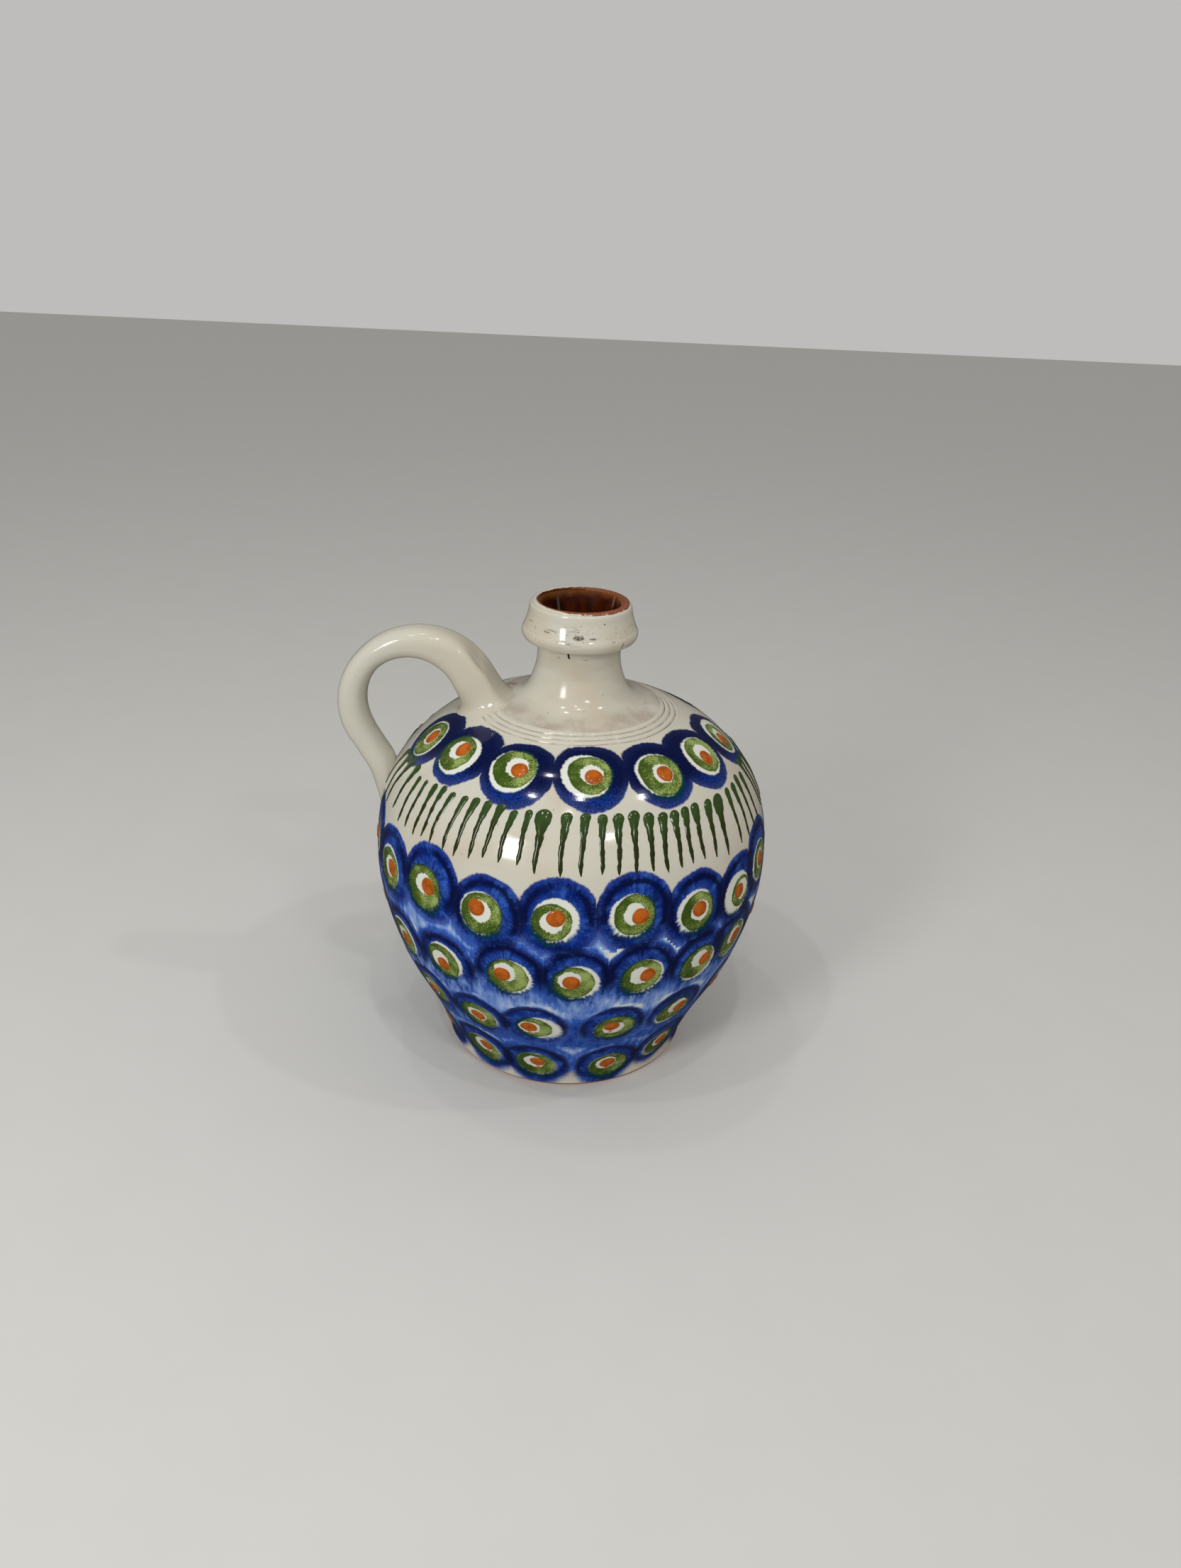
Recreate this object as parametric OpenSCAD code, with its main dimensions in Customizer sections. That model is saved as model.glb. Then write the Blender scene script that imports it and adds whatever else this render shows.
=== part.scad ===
// Narrow-necked stoneware jug with one finger-loop handle.
// The body, the neck, the collar and the handle are separate clay pieces that were joined while soft.
// A brown glaze lines the inside, and raised slip dots and strokes decorate the outside.
// Millimetres, +Z up, origin in the middle of the foot, handle towards -X.

/* [Foot] */
// Radius of the foot
foot_r = 43; // [36:0.5:48]
// Height of the upright foot band
foot_h = 4; // [2:0.5:7]
// Bevel under the edge of the foot
foot_bevel = 1.2; // [0.4:0.1:2]

/* [Body] */
// How far the wall stands out from the foot where it starts to swell
lower_out = 5.5; // [3.5:0.5:8]
// Height of that point
lower_z = 17; // [13:0.5:22]
// Greatest radius of the belly
belly_r = 66.8; // [63:0.2:72]
// Height of the greatest radius
belly_z = 73.5; // [66:0.5:80]
// How far the wall halfway up to the belly lies inside the greatest radius
flank_in = 6.2; // [4:0.2:10]
// Height of that point
flank_z = 42.5; // [36:0.5:48]
// How far the wall lies inside the greatest radius where the shoulder turns in
turn_in = 4.8; // [3:0.2:7]
// Height of that point below the neck seam
turn_drop = 26.8; // [24:0.2:30]
// How far the wall lies inside the greatest radius halfway up the shoulder
shoulder_in = 18.8; // [16:0.2:22]
// Height of that point below the neck seam
shoulder_drop = 10; // [8:0.2:13]
// Height of the seam between the body and the neck
seam_z = 125.7; // [122:0.1:134]
// Radius of that seam
seam_r = 27.6; // [25:0.2:30]

/* [Shoulder grooves] */
// Number of grooves cut round the shoulder
groove_n = 3; // [1:1:4]
// Distance from the seam to the innermost groove
groove_gap = 1.4; // [1:0.1:3]
// Step from one groove to the next
groove_step = 1.8; // [1.4:0.1:3]
// Depth of a groove
groove_depth = 0.45; // [0.2:0.05:0.8]

/* [Neck] */
// Radius on the neck's wide root
root_r = 18.2; // [17:0.2:21]
// Height of that point above the seam
root_rise = 3.8; // [2.8:0.1:5]
// Radius of the neck at its foot
neck_foot_r = 14.3; // [14:0.1:15.6]
// Height of that point above the seam
neck_foot_rise = 11.8; // [9:0.1:14]
// Radius of the neck under the collar
neck_r = 13.9; // [13:0.1:14.2]
// Height of the collar's lower edge above the seam
neck_h = 21.5; // [18:0.1:28]

/* [Collar and mouth] */
// Height of the collar from its lower edge to the lip
collar_h = 12.8; // [11:0.1:17]
// Radius of the collar's bulge
collar_r = 18.8; // [18:0.1:22]
// Height of the bulge above the collar's lower edge
collar_bulge = 2.8; // [2.2:0.1:4.5]
// Radius on the collar's underside
under_r = 17.7; // [16.4:0.1:18]
// Height of that point above the collar's lower edge
under_rise = 0.5; // [0.3:0.1:1.4]
// Radius of the waist under the lip
waist_r = 16.8; // [16.4:0.1:18]
// Height of the waist below the lip
waist_drop = 3.6; // [3:0.1:5]
// Radius where the collar turns in to the lip
rim_r = 16.5; // [16:0.1:17]
// Height of that turn below the round of the lip
rim_drop = 0.3; // [0.2:0.1:1]
// Outer radius of the lip that the neck forms inside the collar
lip_r = 15.6; // [14.8:0.1:16]
// Radius of the mouth at the lip
mouth_r = 13; // [12:0.1:13.4]
// Depth of the funnel from the lip to the throat
funnel_h = 14; // [9:0.5:15]
// Radius of the throat, inside the glaze
throat_r = 10; // [8:0.1:10.2]
// Height of the straight throat
throat_h = 14; // [6:0.5:15]

/* [Walls] */
// Thickness of the body's wall
wall = 5; // [3.5:0.1:7]
// Thickness of the floor
floor_t = 7; // [5:0.5:10]
// Radius of the corner between the floor and the wall
floor_corner = 9; // [4:0.5:12]
// Thickness of the glaze inside
glaze_t = 0.5; // [0.3:0.1:0.8]

/* [Handle] */
// Radius of the loop, at the middle of the clay
loop_r = 21.3; // [19:0.1:24]
// Distance from the jug's axis to the middle of the upper join
join_r = 31.7; // [30:0.1:35]
// Height of the loop's centre below the seam
loop_drop = 3.2; // [2:0.1:6]
// Lean of the lower leg from upright
leg_angle = 30; // [24:1:36]
// Thickness of the handle
handle_t = 9.6; // [8:0.1:12]
// Width of the handle
handle_w = 12.4; // [9:0.1:15]
// Thickness at the upper join
join_t = 15.6; // [12:0.1:18]
// Width at the upper join
join_w = 19; // [14:0.5:24]
// Width where the lower leg meets the belly
foot_w = 14; // [10:0.5:18]
// Length of the tail that is smoothed down the belly
tail_h = 17; // [10:0.5:22]
// Width at the end of the tail
tail_w = 6.6; // [4:0.2:9]
// How far the tail stands out where it leaves the leg
tail_proud = 6; // [4:0.2:8]

/* [Slip dots] */
// Radius of a dot
dot_r = 2.7; // [2:0.1:3.5]
// Height of a dot
dot_h = 0.7; // [0.4:0.05:1]
// Gap between the flat seat of a dot and the wall that curves away from it
dot_seat = 0.02; // [0.01:0.01:0.05]
// Height of the row on the shoulder
row_0_z = 117.3; // [115:0.1:119]
// Dots in the row on the shoulder
row_0_n = 13; // [8:1:16]
// Turn of the row on the shoulder
row_0_turn = 6.6; // [-15:0.1:15]
// Height of the first row on the belly
row_1_z = 80; // [74:0.5:86]
// Dots in the first row
row_1_n = 19; // [12:1:24]
// Turn of the first row
row_1_turn = -2.8; // [-15:0.1:15]
// Height of the second row
row_2_z = 58.5; // [52:0.5:64]
// Dots in the second row
row_2_n = 19; // [12:1:24]
// Turn of the second row
row_2_turn = 2.8; // [-15:0.1:15]
// Height of the third row
row_3_z = 35.3; // [30:0.1:40]
// Dots in the third row
row_3_n = 16; // [10:1:20]
// Turn of the third row
row_3_turn = -9.6; // [-15:0.1:15]
// Height of the fourth row
row_4_z = 11.5; // [10:0.5:16]
// Dots in the fourth row
row_4_n = 13; // [8:1:18]
// Turn of the fourth row
row_4_turn = -11.4; // [-15:0.1:15]

/* [Slip strokes] */
// Number of strokes round the shoulder
stroke_n = 68; // [40:1:72]
// Height of a stroke's head
stroke_top = 110; // [106:0.5:112]
// Height of the end of a stroke's tail
stroke_end = 95; // [92:0.5:99]
// Width of a stroke's head
stroke_head_w = 3.2; // [2.4:0.1:4.4]
// Width of a stroke's tail
stroke_tail_w = 1.2; // [0.8:0.1:2]
// Height of a stroke above the wall
stroke_h = 0.4; // [0.2:0.05:0.6]
// Angle left bare on each side of the handle
stroke_gap = 9; // [6:1:20]

/* [Hidden] */
$fn = 64;

cream = [0.86, 0.84, 0.76];
brown = [0.25, 0.11, 0.05];
orange = [0.72, 0.33, 0.1];
green = [0.14, 0.28, 0.1];

// Steps along each stretch of a curve and up a dot, sides of the handle's section and turn of the
// loop per ring
curve_steps = 4;
dot_steps = 4;
handle_sides = 20;
loop_step = 6;
// Angle round the loop at the upper join, where the swelling starts and how fast it grows
join_angle = 174;
swell_from = 80;
swell_power = 1.3;
// Power that flattens the handle's oval, and how deep its two ends are sunk before they are cut
oval_power = 0.85;
join_sink = 6;
tail_sink = 0.5;
// How far a stroke's drop and the skin that it is cut from reach past each other
stroke_reach = 6;

collar_z = seam_z + neck_h;
lip_z = collar_z + collar_h;
throat_top = lip_z - funnel_h;
throat_end = throat_top - throat_h;
clay_wall = wall;
lined_wall = wall + glaze_t;
lip_round = (lip_r - mouth_r - glaze_t) / 2;

// Smooth curve through stations of any dimension, spaced by the first two values of each
function span(a, b) = norm([b.x - a.x, b.y - a.y]);
function pace(s, i) = (s[i + 1] - s[i]) / span(s[i], s[i + 1]);
function inner_slope(s, i) =
  let (before = span(s[i - 1], s[i]), after = span(s[i], s[i + 1]))
  (pace(s, i - 1) * after + pace(s, i) * before) / (before + after);
function slope(s, i) =
  i == 0 ? 2 * pace(s, 0) - inner_slope(s, 1) :
  i == len(s) - 1 ? 2 * pace(s, i - 1) - inner_slope(s, i - 1) :
  inner_slope(s, i);
function between(s, i, t) =
  let (d = span(s[i], s[i + 1]))
  (2 * t ^ 3 - 3 * t ^ 2 + 1) * s[i] + (t ^ 3 - 2 * t ^ 2 + t) * d * slope(s, i)
  + (3 * t ^ 2 - 2 * t ^ 3) * s[i + 1] + (t ^ 3 - t ^ 2) * d * slope(s, i + 1);
function curve(s, steps = curve_steps) = [
  for (i = [0 : len(s) - 2]) for (k = [0 : steps - 1]) between(s, i, k / steps),
  s[len(s) - 1]
];

// Points of a curve moved sideways by a distance, to the left of its direction for a positive one
function aside(c, i) =
  let (d = c[min(i + 1, len(c) - 1)] - c[max(i - 1, 0)])
  [-d.y, d.x] / norm(d);
function beside(c, distance) = [for (i = [0 : len(c) - 1]) c[i] + distance * aside(c, i)];
function reversed(c) = [for (i = [len(c) - 1 : -1 : 0]) c[i]];

// Outer curves, as [radius, height]
body_curve = curve([
  [foot_r, foot_h], [foot_r + lower_out, lower_z], [belly_r - flank_in, flank_z], [belly_r, belly_z],
  [belly_r - turn_in, seam_z - turn_drop], [belly_r - shoulder_in, seam_z - shoulder_drop],
  [seam_r, seam_z]
]);
neck_curve = curve([
  [seam_r, seam_z], [root_r, seam_z + root_rise], [neck_foot_r, seam_z + neck_foot_rise],
  [neck_r, collar_z]
]);
collar_curve = curve([
  [neck_r, collar_z], [under_r, collar_z + under_rise], [collar_r, collar_z + collar_bulge],
  [waist_r, lip_z - waist_drop], [rim_r, lip_z - lip_round - rim_drop], [lip_r, lip_z - lip_round]
]);
// Half round on top of the neck, from the collar to the mouth
lip_curve = [
  for (a = [0 : 30 : 180])
    [lip_r - lip_round + lip_round * cos(a), lip_z - lip_round + lip_round * sin(a)]
];
wall_table = [for (p = body_curve) [p.y, p.x]];
function wall_r(z) = lookup(z, wall_table);
function wall_lean(z) = wall_r(z + 0.5) - wall_r(z - 0.5);
function wall_normal(z) = [1, -wall_lean(z)] / norm([1, wall_lean(z)]);

// Inside of the body for a wall of thickness w, from the seam down to the middle of the floor
function inner_floor(w) = floor_t + w - wall;
function inner_body(w) =
  let (
    corner_z = inner_floor(w) + floor_corner,
    side = beside(body_curve, w),
    upper = [for (p = side) if (p.y > corner_z) p],
    corner_r = lookup(corner_z, [for (p = side) [p.y, p.x]]) - floor_corner
  )
  concat(
    reversed(upper),
    [for (a = [0 : 15 : 90]) [corner_r + floor_corner * cos(a), corner_z - floor_corner * sin(a)]],
    [[0, inner_floor(w)]]
  );

// Inside of the neck for the same wall, from the lip down to just above the seam
function inner_neck(w) =
  let (
    grown = w - wall,
    r = throat_r + glaze_t - grown,
    seam = inner_body(w)[0]
  )
  concat(
    [[mouth_r + glaze_t - grown, lip_z - lip_round], [r, throat_top]],
    [for (a = [0 : 10 : 80])
      [seam.x - (seam.x - r) * cos(a), throat_end - (throat_end - seam.y) * sin(a)]]
  );

// The outside as one solid, which cuts whatever sits on it
module outside() {
  rotate_extrude() polygon(concat([[0, 0], [foot_r, 0]], body_curve, neck_curve, [[0, collar_z]]));
}

// Rings with slanting sides cut into the shoulder
module grooves() {
  for (i = [0 : groove_n - 1]) {
    r = seam_r + groove_gap + i * groove_step;
    z = lookup(-r, [for (p = body_curve) if (p.y > belly_z) [-p.x, p.y]]);
    rotate_extrude() translate([r, z])
      polygon([[-groove_depth, groove_depth], [groove_depth, groove_depth], [0, -groove_depth]]);
  }
}

module body() {
  color(cream) difference() {
    rotate_extrude()
      polygon(concat(
        [[0, 0], [foot_r - foot_bevel, 0], [foot_r, foot_bevel]], body_curve, inner_body(clay_wall)
      ));
    grooves();
  }
}

module neck() {
  color(cream) rotate_extrude()
    polygon(concat(
      neck_curve, lip_curve, inner_neck(clay_wall), [inner_body(clay_wall)[0]]
    ));
}

module rim_collar() {
  color(cream) rotate_extrude() polygon(collar_curve);
}

module inner_glaze() {
  color(brown) rotate_extrude()
    polygon(concat(
      reversed(inner_body(clay_wall)), reversed(inner_neck(clay_wall)),
      inner_neck(lined_wall), inner_body(lined_wall)
    ));
}

// Middle line of the handle in its plane, as [reach, height, thickness, width]
loop_x = join_r + loop_r;
loop_z = seam_z - loop_drop;
function swell(a) = max(0, (a - swell_from) / (join_angle - swell_from)) ^ swell_power;
function loop_point(a) = [
  loop_x + loop_r * cos(a), loop_z + loop_r * sin(a),
  handle_t + (join_t - handle_t) * swell(a), handle_w + (join_w - handle_w) * swell(a)
];
leg_way = [-sin(leg_angle), -cos(leg_angle), 0, 0];
function leg_point(s) = loop_point(-leg_angle) + s * leg_way;
leg_length = min([for (s = [0 : 0.5 : 90]) let (p = leg_point(s)) if (p.x < wall_r(p.y)) s]);
// The tail sinks from standing proud of the wall to lying inside it
function tail_point(t) =
  let (z = leg_point(leg_length).y - t * tail_h, proud = tail_proud * (1 - t) ^ 2 - tail_sink)
  [wall_r(z) - handle_t / 2 + proud, z, handle_t, foot_w + (tail_w - foot_w) * t];
handle_line = concat(
  [loop_point(join_angle) - [0, join_sink, 0, 0]],
  [for (a = [join_angle : -loop_step : loop_step - leg_angle]) loop_point(a)],
  curve(concat(
    [leg_point(0), leg_point(leg_length / 3), leg_point(leg_length * 2 / 3)],
    [for (t = [0.25 : 0.25 : 1.25]) tail_point(t)]
  ), 2)
);

// Ring of the handle: an oval across the middle line, whose sides are a little flattened
function flattened(v) = sign(v) * abs(v) ^ oval_power;
function handle_ring(i) =
  let (p = handle_line[i], across = aside([for (q = handle_line) [q.x, q.y]], i))
  [for (k = [0 : handle_sides - 1])
    let (
      a = 360 * k / handle_sides,
      out = p[2] / 2 * flattened(cos(a)),
      side = p[3] / 2 * flattened(sin(a))
    )
    [p.x + out * across.x, side, p.y + out * across.y]];

module handle_sweep() {
  rings = len(handle_line);
  n = handle_sides;
  polyhedron(
    points = [for (i = [0 : rings - 1]) each handle_ring(i)],
    faces = concat(
      [[for (k = [0 : n - 1]) k]],
      [for (i = [0 : rings - 2]) for (k = [0 : n - 1])
        each [
          [i * n + k, (i + 1) * n + k, (i + 1) * n + (k + 1) % n],
          [i * n + k, (i + 1) * n + (k + 1) % n, i * n + (k + 1) % n]
        ]],
      [[for (k = [n - 1 : -1 : 0]) (rings - 1) * n + k]]
    )
  );
}

module handle() {
  color(cream) difference() {
    rotate([0, 0, 180]) handle_sweep();
    outside();
  }
}

// Dome of slip with its flat seat on the origin
module dot() {
  ball_r = (dot_r ^ 2 + dot_h ^ 2) / (2 * dot_h);
  edge = asin(dot_r / ball_r);
  rotate_extrude() polygon(concat(
    [[0, 0]],
    [for (k = [0 : dot_steps])
      let (a = edge * (1 - k / dot_steps))
      [ball_r * sin(a), ball_r * cos(a) - ball_r + dot_h]]
  ));
}

// Dots in a row round the wall, the first at a turn from the front
module dot_row(z, count, turn) {
  out = wall_normal(z);
  color(orange) difference() {
    for (i = [0 : count - 1])
      rotate([0, 0, turn + 360 * i / count - 90])
        translate([wall_r(z) + dot_seat * out.x, 0, z + dot_seat * out.y])
          rotate([0, 90 - atan2(out.y, out.x), 0]) dot();
    outside();
  }
}

module shoulder_dots() {
  dot_row(row_0_z, row_0_n, row_0_turn);
}

module belly_dots_1() {
  dot_row(row_1_z, row_1_n, row_1_turn);
}

module belly_dots_2() {
  dot_row(row_2_z, row_2_n, row_2_turn);
}

module belly_dots_3() {
  dot_row(row_3_z, row_3_n, row_3_turn);
}

module belly_dots_4() {
  dot_row(row_4_z, row_4_n, row_4_turn);
}

// Skin of slip on the wall, as high as a stroke
module stroke_skin() {
  band = [
    for (p = body_curve)
      if (p.y > stroke_end - stroke_reach && p.y < stroke_top + stroke_reach) p
  ];
  rotate_extrude() polygon(concat(band, reversed(beside(band, -stroke_h))));
}

// A drop with its head at the top, drawn flat and pushed through the skin
module stroke() {
  middle = (stroke_top + stroke_end) / 2;
  lean = atan2(wall_normal(middle).y, wall_normal(middle).x);
  rise = (stroke_top - stroke_end) / cos(lean);
  head = rise / 2 - stroke_head_w / 2;
  tail = -rise / 2 + stroke_tail_w / 2;
  translate([wall_r(middle), 0, middle]) rotate([0, 90 - lean, 0]) rotate([0, 0, 180])
    linear_extrude(2 * stroke_reach, center = true) {
      translate([head, 0]) circle(d = stroke_head_w, $fn = 24);
      translate([tail, 0]) circle(d = stroke_tail_w, $fn = 16);
      polygon([
        [head, stroke_head_w / 2], [tail, stroke_tail_w / 2],
        [tail, -stroke_tail_w / 2], [head, -stroke_head_w / 2]
      ]);
    }
}

module green_strokes() {
  color(green) intersection() {
    stroke_skin();
    for (i = [0 : stroke_n - 1])
      if (abs(360 * i / stroke_n - 180) > stroke_gap) rotate([0, 0, 360 * i / stroke_n]) stroke();
  }
}

body();
neck();
rim_collar();
handle();
inner_glaze();
shoulder_dots();
belly_dots_1();
belly_dots_2();
belly_dots_3();
belly_dots_4();
green_strokes();
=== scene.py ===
import bpy
import numpy as np
from mathutils import Matrix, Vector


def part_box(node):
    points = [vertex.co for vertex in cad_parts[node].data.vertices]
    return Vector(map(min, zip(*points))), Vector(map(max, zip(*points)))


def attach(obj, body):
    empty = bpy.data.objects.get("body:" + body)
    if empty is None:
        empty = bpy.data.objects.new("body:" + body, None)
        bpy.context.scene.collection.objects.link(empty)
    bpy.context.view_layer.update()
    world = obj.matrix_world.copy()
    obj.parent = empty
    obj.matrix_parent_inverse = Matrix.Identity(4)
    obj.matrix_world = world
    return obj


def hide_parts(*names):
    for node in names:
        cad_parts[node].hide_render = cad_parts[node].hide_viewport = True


bl_info = {
    "name": "Peacock-eye jug",
    "version": (1, 0, 0),
    "blender": (4, 5, 0),
    "location": "3D View > Sidebar > Jug",
    "description": "Builds the clay, glaze and slip decoration of a narrow-necked stoneware jug",
    "category": "Object",
}

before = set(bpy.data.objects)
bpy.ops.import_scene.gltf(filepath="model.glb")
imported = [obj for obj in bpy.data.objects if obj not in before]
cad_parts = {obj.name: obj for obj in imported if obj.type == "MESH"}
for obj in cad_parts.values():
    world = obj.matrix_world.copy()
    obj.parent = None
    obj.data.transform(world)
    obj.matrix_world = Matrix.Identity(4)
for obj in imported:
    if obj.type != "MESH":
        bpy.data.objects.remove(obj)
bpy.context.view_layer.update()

MM = 0.001
FULL_TURN = 2 * np.pi

BODY_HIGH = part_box("body")[1]
NECK_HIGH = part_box("neck")[1]
COLLAR_LOW, COLLAR_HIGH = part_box("rim_collar")
DOT_ROWS = ("shoulder_dots", "belly_dots_1", "belly_dots_2", "belly_dots_3", "belly_dots_4")

# Eyes that face the viewer, row by row from the shoulder down. Each is the turn in degrees from the front and
# the height in mm of its middle, then the places right and up of it in mm of its white, green, inner white
# and dot, and the radius of the green.
EYES_SEEN = (
    (
        (-74.8, 115.3, -1.2, -0.5, -1.5, -0.5, -1.0, 0.4, -0.6, 0.6, 7.1),
        (-49.8, 117.5, -1.5, -0.7, -3.0, -0.5, -3.2, 0.5, -1.8, 1.4, 6.8),
        (-22.3, 117.2, -1.8, 1.3, -1.5, 2.2, -1.0, 2.9, 0.2, 2.0, 7.1),
        (6.6, 118.0, -1.4, 1.2, -0.2, 1.4, 0.3, 1.5, 0.8, 0.6, 6.9),
        (35.2, 117.2, -0.4, 0.2, 0.3, 0.0, 1.0, 0.1, 1.6, -0.1, 7.6),
        (59.1, 117.1, 2.1, 0.2, 3.0, 0.4, 3.2, 0.6, 3.0, -1.2, 6.9),
        (86.3, 115.4, 1.8, 0.5, 1.2, 0.2, 1.2, 0.3, 0.8, -0.8, 6.2),
    ),
    (
        (-60.2, 78.4, -1.3, -0.2, -1.4, -0.7, -0.6, 0.0, 0.7, 0.1, 6.9),
        (-40.9, 81.9, -2.2, -1.4, -2.3, -1.4, -2.4, -0.2, -0.4, -0.4, 7.5),
        (-22.1, 78.5, -1.6, 1.1, -1.4, 0.9, -1.7, 1.6, -3.1, 2.7, 7.1),
        (-2.8, 80.7, -0.6, 0.6, -1.7, -0.2, -1.6, -0.2, -0.5, 1.2, 6.3),
        (17.7, 82.2, -1.1, 0.0, -0.2, 0.2, -0.3, 0.5, 1.5, -0.4, 6.8),
        (36.7, 78.8, -1.1, 0.2, 0.1, -0.2, 0.8, -0.1, 0.7, 0.5, 6.6),
        (54.8, 77.5, -1.7, 0.4, 0.5, 0.1, 1.1, 0.6, -0.4, 0.5, 5.4),
        (69.9, 82.0, -0.5, -1.0, 0.0, -0.9, 0.0, -0.5, 0.2, -0.7, 6.6),
    ),
    (
        (-56.3, 54.0, -0.6, 0.0, -1.2, -0.6, -1.0, -0.3, 0.2, -0.8, 6.7),
        (-36.2, 55.6, -0.4, 0.5, -1.5, -0.3, -2.6, -0.3, -1.6, -1.8, 6.7),
        (-15.8, 59.6, 0.5, -1.5, -0.4, -1.5, -1.2, 0.1, -2.1, -1.0, 6.9),
        (2.8, 59.7, 0.3, -1.4, -1.0, -1.5, -2.1, -0.3, -1.5, -1.3, 6.8),
        (20.6, 60.4, 1.1, -1.6, 0.4, -1.6, 0.1, -1.0, 2.5, -1.3, 7.0),
        (39.6, 58.8, 1.0, -2.2, 0.2, -1.3, 0.8, 0.2, 3.4, -0.9, 6.9),
        (55.1, 60.2, 1.4, -2.0, 0.6, -1.4, 1.2, -0.2, 2.4, -1.0, 6.8),
    ),
    (
        (-49.8, 35.4, -0.2, -0.6, -0.8, -0.8, -0.8, -0.4, -0.4, -0.6, 6.8),
        (-29.0, 34.0, 0.0, -0.5, -0.9, -0.7, -1.1, -0.5, -0.8, -0.7, 6.9),
        (-9.6, 35.2, 2.4, -0.9, -0.2, -0.8, -1.6, -1.0, -1.8, -0.7, 6.1),
        (15.8, 35.4, 0.8, -0.9, 1.2, -1.0, 0.4, -1.0, -0.3, 0.2, 7.2),
        (38.3, 36.6, 0.0, -2.0, 0.0, -1.0, 0.8, 0.8, 2.4, -0.3, 6.8),
    ),
    (
        (-35.8, 12.0, 0.0, -0.6, -0.8, -1.0, 0.2, 1.0, 1.3, 1.2, 7.0),
        (-11.4, 11.2, 0.4, -0.2, -0.1, -0.2, -0.4, 0.9, 0.7, 1.2, 7.1),
        (19.0, 10.9, 0.7, -0.8, 0.8, -1.0, -0.2, 0.3, 0.3, 0.2, 7.2),
        (44.9, 14.0, -0.3, -1.2, 0.2, -0.8, 0.2, 0.2, 0.6, 0.2, 6.9),
    ),
)

# Eyes out of sight in each row: how many, the turn in degrees of the first and of the last, and how many mm
# lower than the others they are
EYES_UNSEEN = ((6, 125, 235, 3.2), (11, 89, 281, 0), (12, 74, 285, 0), (11, 61, 288, 0), (9, 73, 296, 0))

# For each row: radius of the ring, of the dark line in it and of the white, in mm, and how far the ring lies
# above the middle of its eye
RINGS = (
    (12.2, 10.9, 7.7, 0.7),
    (12.8, 10.0, 7.2, 1.2),
    (12.2, 9.9, 7.1, 0.2),
    (11.2, 10.1, 6.9, 0.0),
    (11.6, 10.4, 7.0, 0.6),
)

# Radius in mm of the inner white of an eye
INNER_R = 3.55

# Columns of the table that the function eyes gives
EYE_TURN = 0
EYE_ALONG = 1
EYE_RING = 2
EYE_LINE_SEED = slice(3, 5)
EYE_WHITE = slice(5, 8)
EYE_GREEN = slice(8, 11)
EYE_INNER = slice(11, 14)
EYE_DOT = slice(14, 17)
EYE_ROW = 17

# What a corner of the body stores where no paint comes: a way far from any eye, and a small radius
NO_EYE = (60.0, 0.0, 1.0)

# Strokes that face the viewer, from the left: turn of the head and of the tail in degrees, width of the head,
# and how far the head and the tail lie down the wall from the strokes' upper edge, in mm
STROKES_SEEN = (
    (-60.4, -60.2, 2.0, 3.4, 19.8), (-55.9, -55.6, 1.7, 2.9, 19.4), (-50.8, -50.8, 2.4, 2.0, 19.8),
    (-46.5, -46.9, 2.4, 1.1, 18.7), (-41.7, -43.4, 2.3, 1.7, 19.1), (-36.5, -38.0, 2.3, 1.2, 19.4),
    (-32.2, -33.7, 2.7, 0.5, 19.8), (-27.7, -28.9, 2.7, 0.3, 18.9), (-22.9, -24.5, 2.7, 0.1, 17.5),
    (-18.2, -20.0, 2.3, 1.4, 17.8), (-13.6, -14.4, 2.1, 0.5, 17.5), (-8.7, -9.6, 4.8, -0.3, 19.3),
    (-1.5, -2.8, 3.2, 0.1, 19.5), (4.4, 2.9, 3.0, 0.1, 19.2), (9.6, 8.6, 2.8, 0.6, 18.6),
    (14.7, 13.4, 3.2, 0.6, 19.1), (19.9, 18.2, 3.4, 0.2, 19.3), (24.6, 23.1, 3.4, 1.4, 19.2),
    (29.5, 27.2, 3.3, 2.2, 20.4), (33.7, 31.9, 3.2, 2.4, 20.0), (38.1, 35.5, 3.1, 2.3, 19.7),
    (42.4, 39.8, 3.4, 2.2, 19.7), (48.5, 44.8, 3.5, 2.8, 20.7), (53.8, 49.7, 4.9, 2.8, 22.0),
    (60.3, 57.3, 2.8, 3.1, 21.1), (65.2, 62.5, 3.0, 3.2, 21.3), (70.3, 67.3, 3.0, 2.3, 21.0),
    (75.3, 72.3, 3.2, 3.5, 20.6),
)

# Pitch in degrees of the strokes that aren't seen, left of the others and right of them
LEFT_PITCH = 5.1
RIGHT_PITCH = 5.6

# Width of a stroke's head against the one listed, how far its middle line wavers and its underside is sunk
HEAD_SHARE = 1.12
STROKE_SWAY = 0.22 * MM
STROKE_SUNK = 0.3 * MM

# Section of a stroke: places across it in half widths, and heights, where those below 0 are inside the wall
STROKE_SECTION = (
    (-1, 0), (-0.7, 0.51), (-0.35, 0.88), (0, 1), (0.35, 0.88), (0.7, 0.51), (1, 0), (0.6, -0.5), (0, -0.5),
    (-0.6, -0.5),
)

# Distance of each ring of a dot from its middle, from the sunk edge to the top, and how deep that edge is
DOT_SHARES = (1.0, 1.0, 0.97, 0.9, 0.78, 0.6, 0.38, 0.15)
DOT_SUNK = 0.4 * MM

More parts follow.
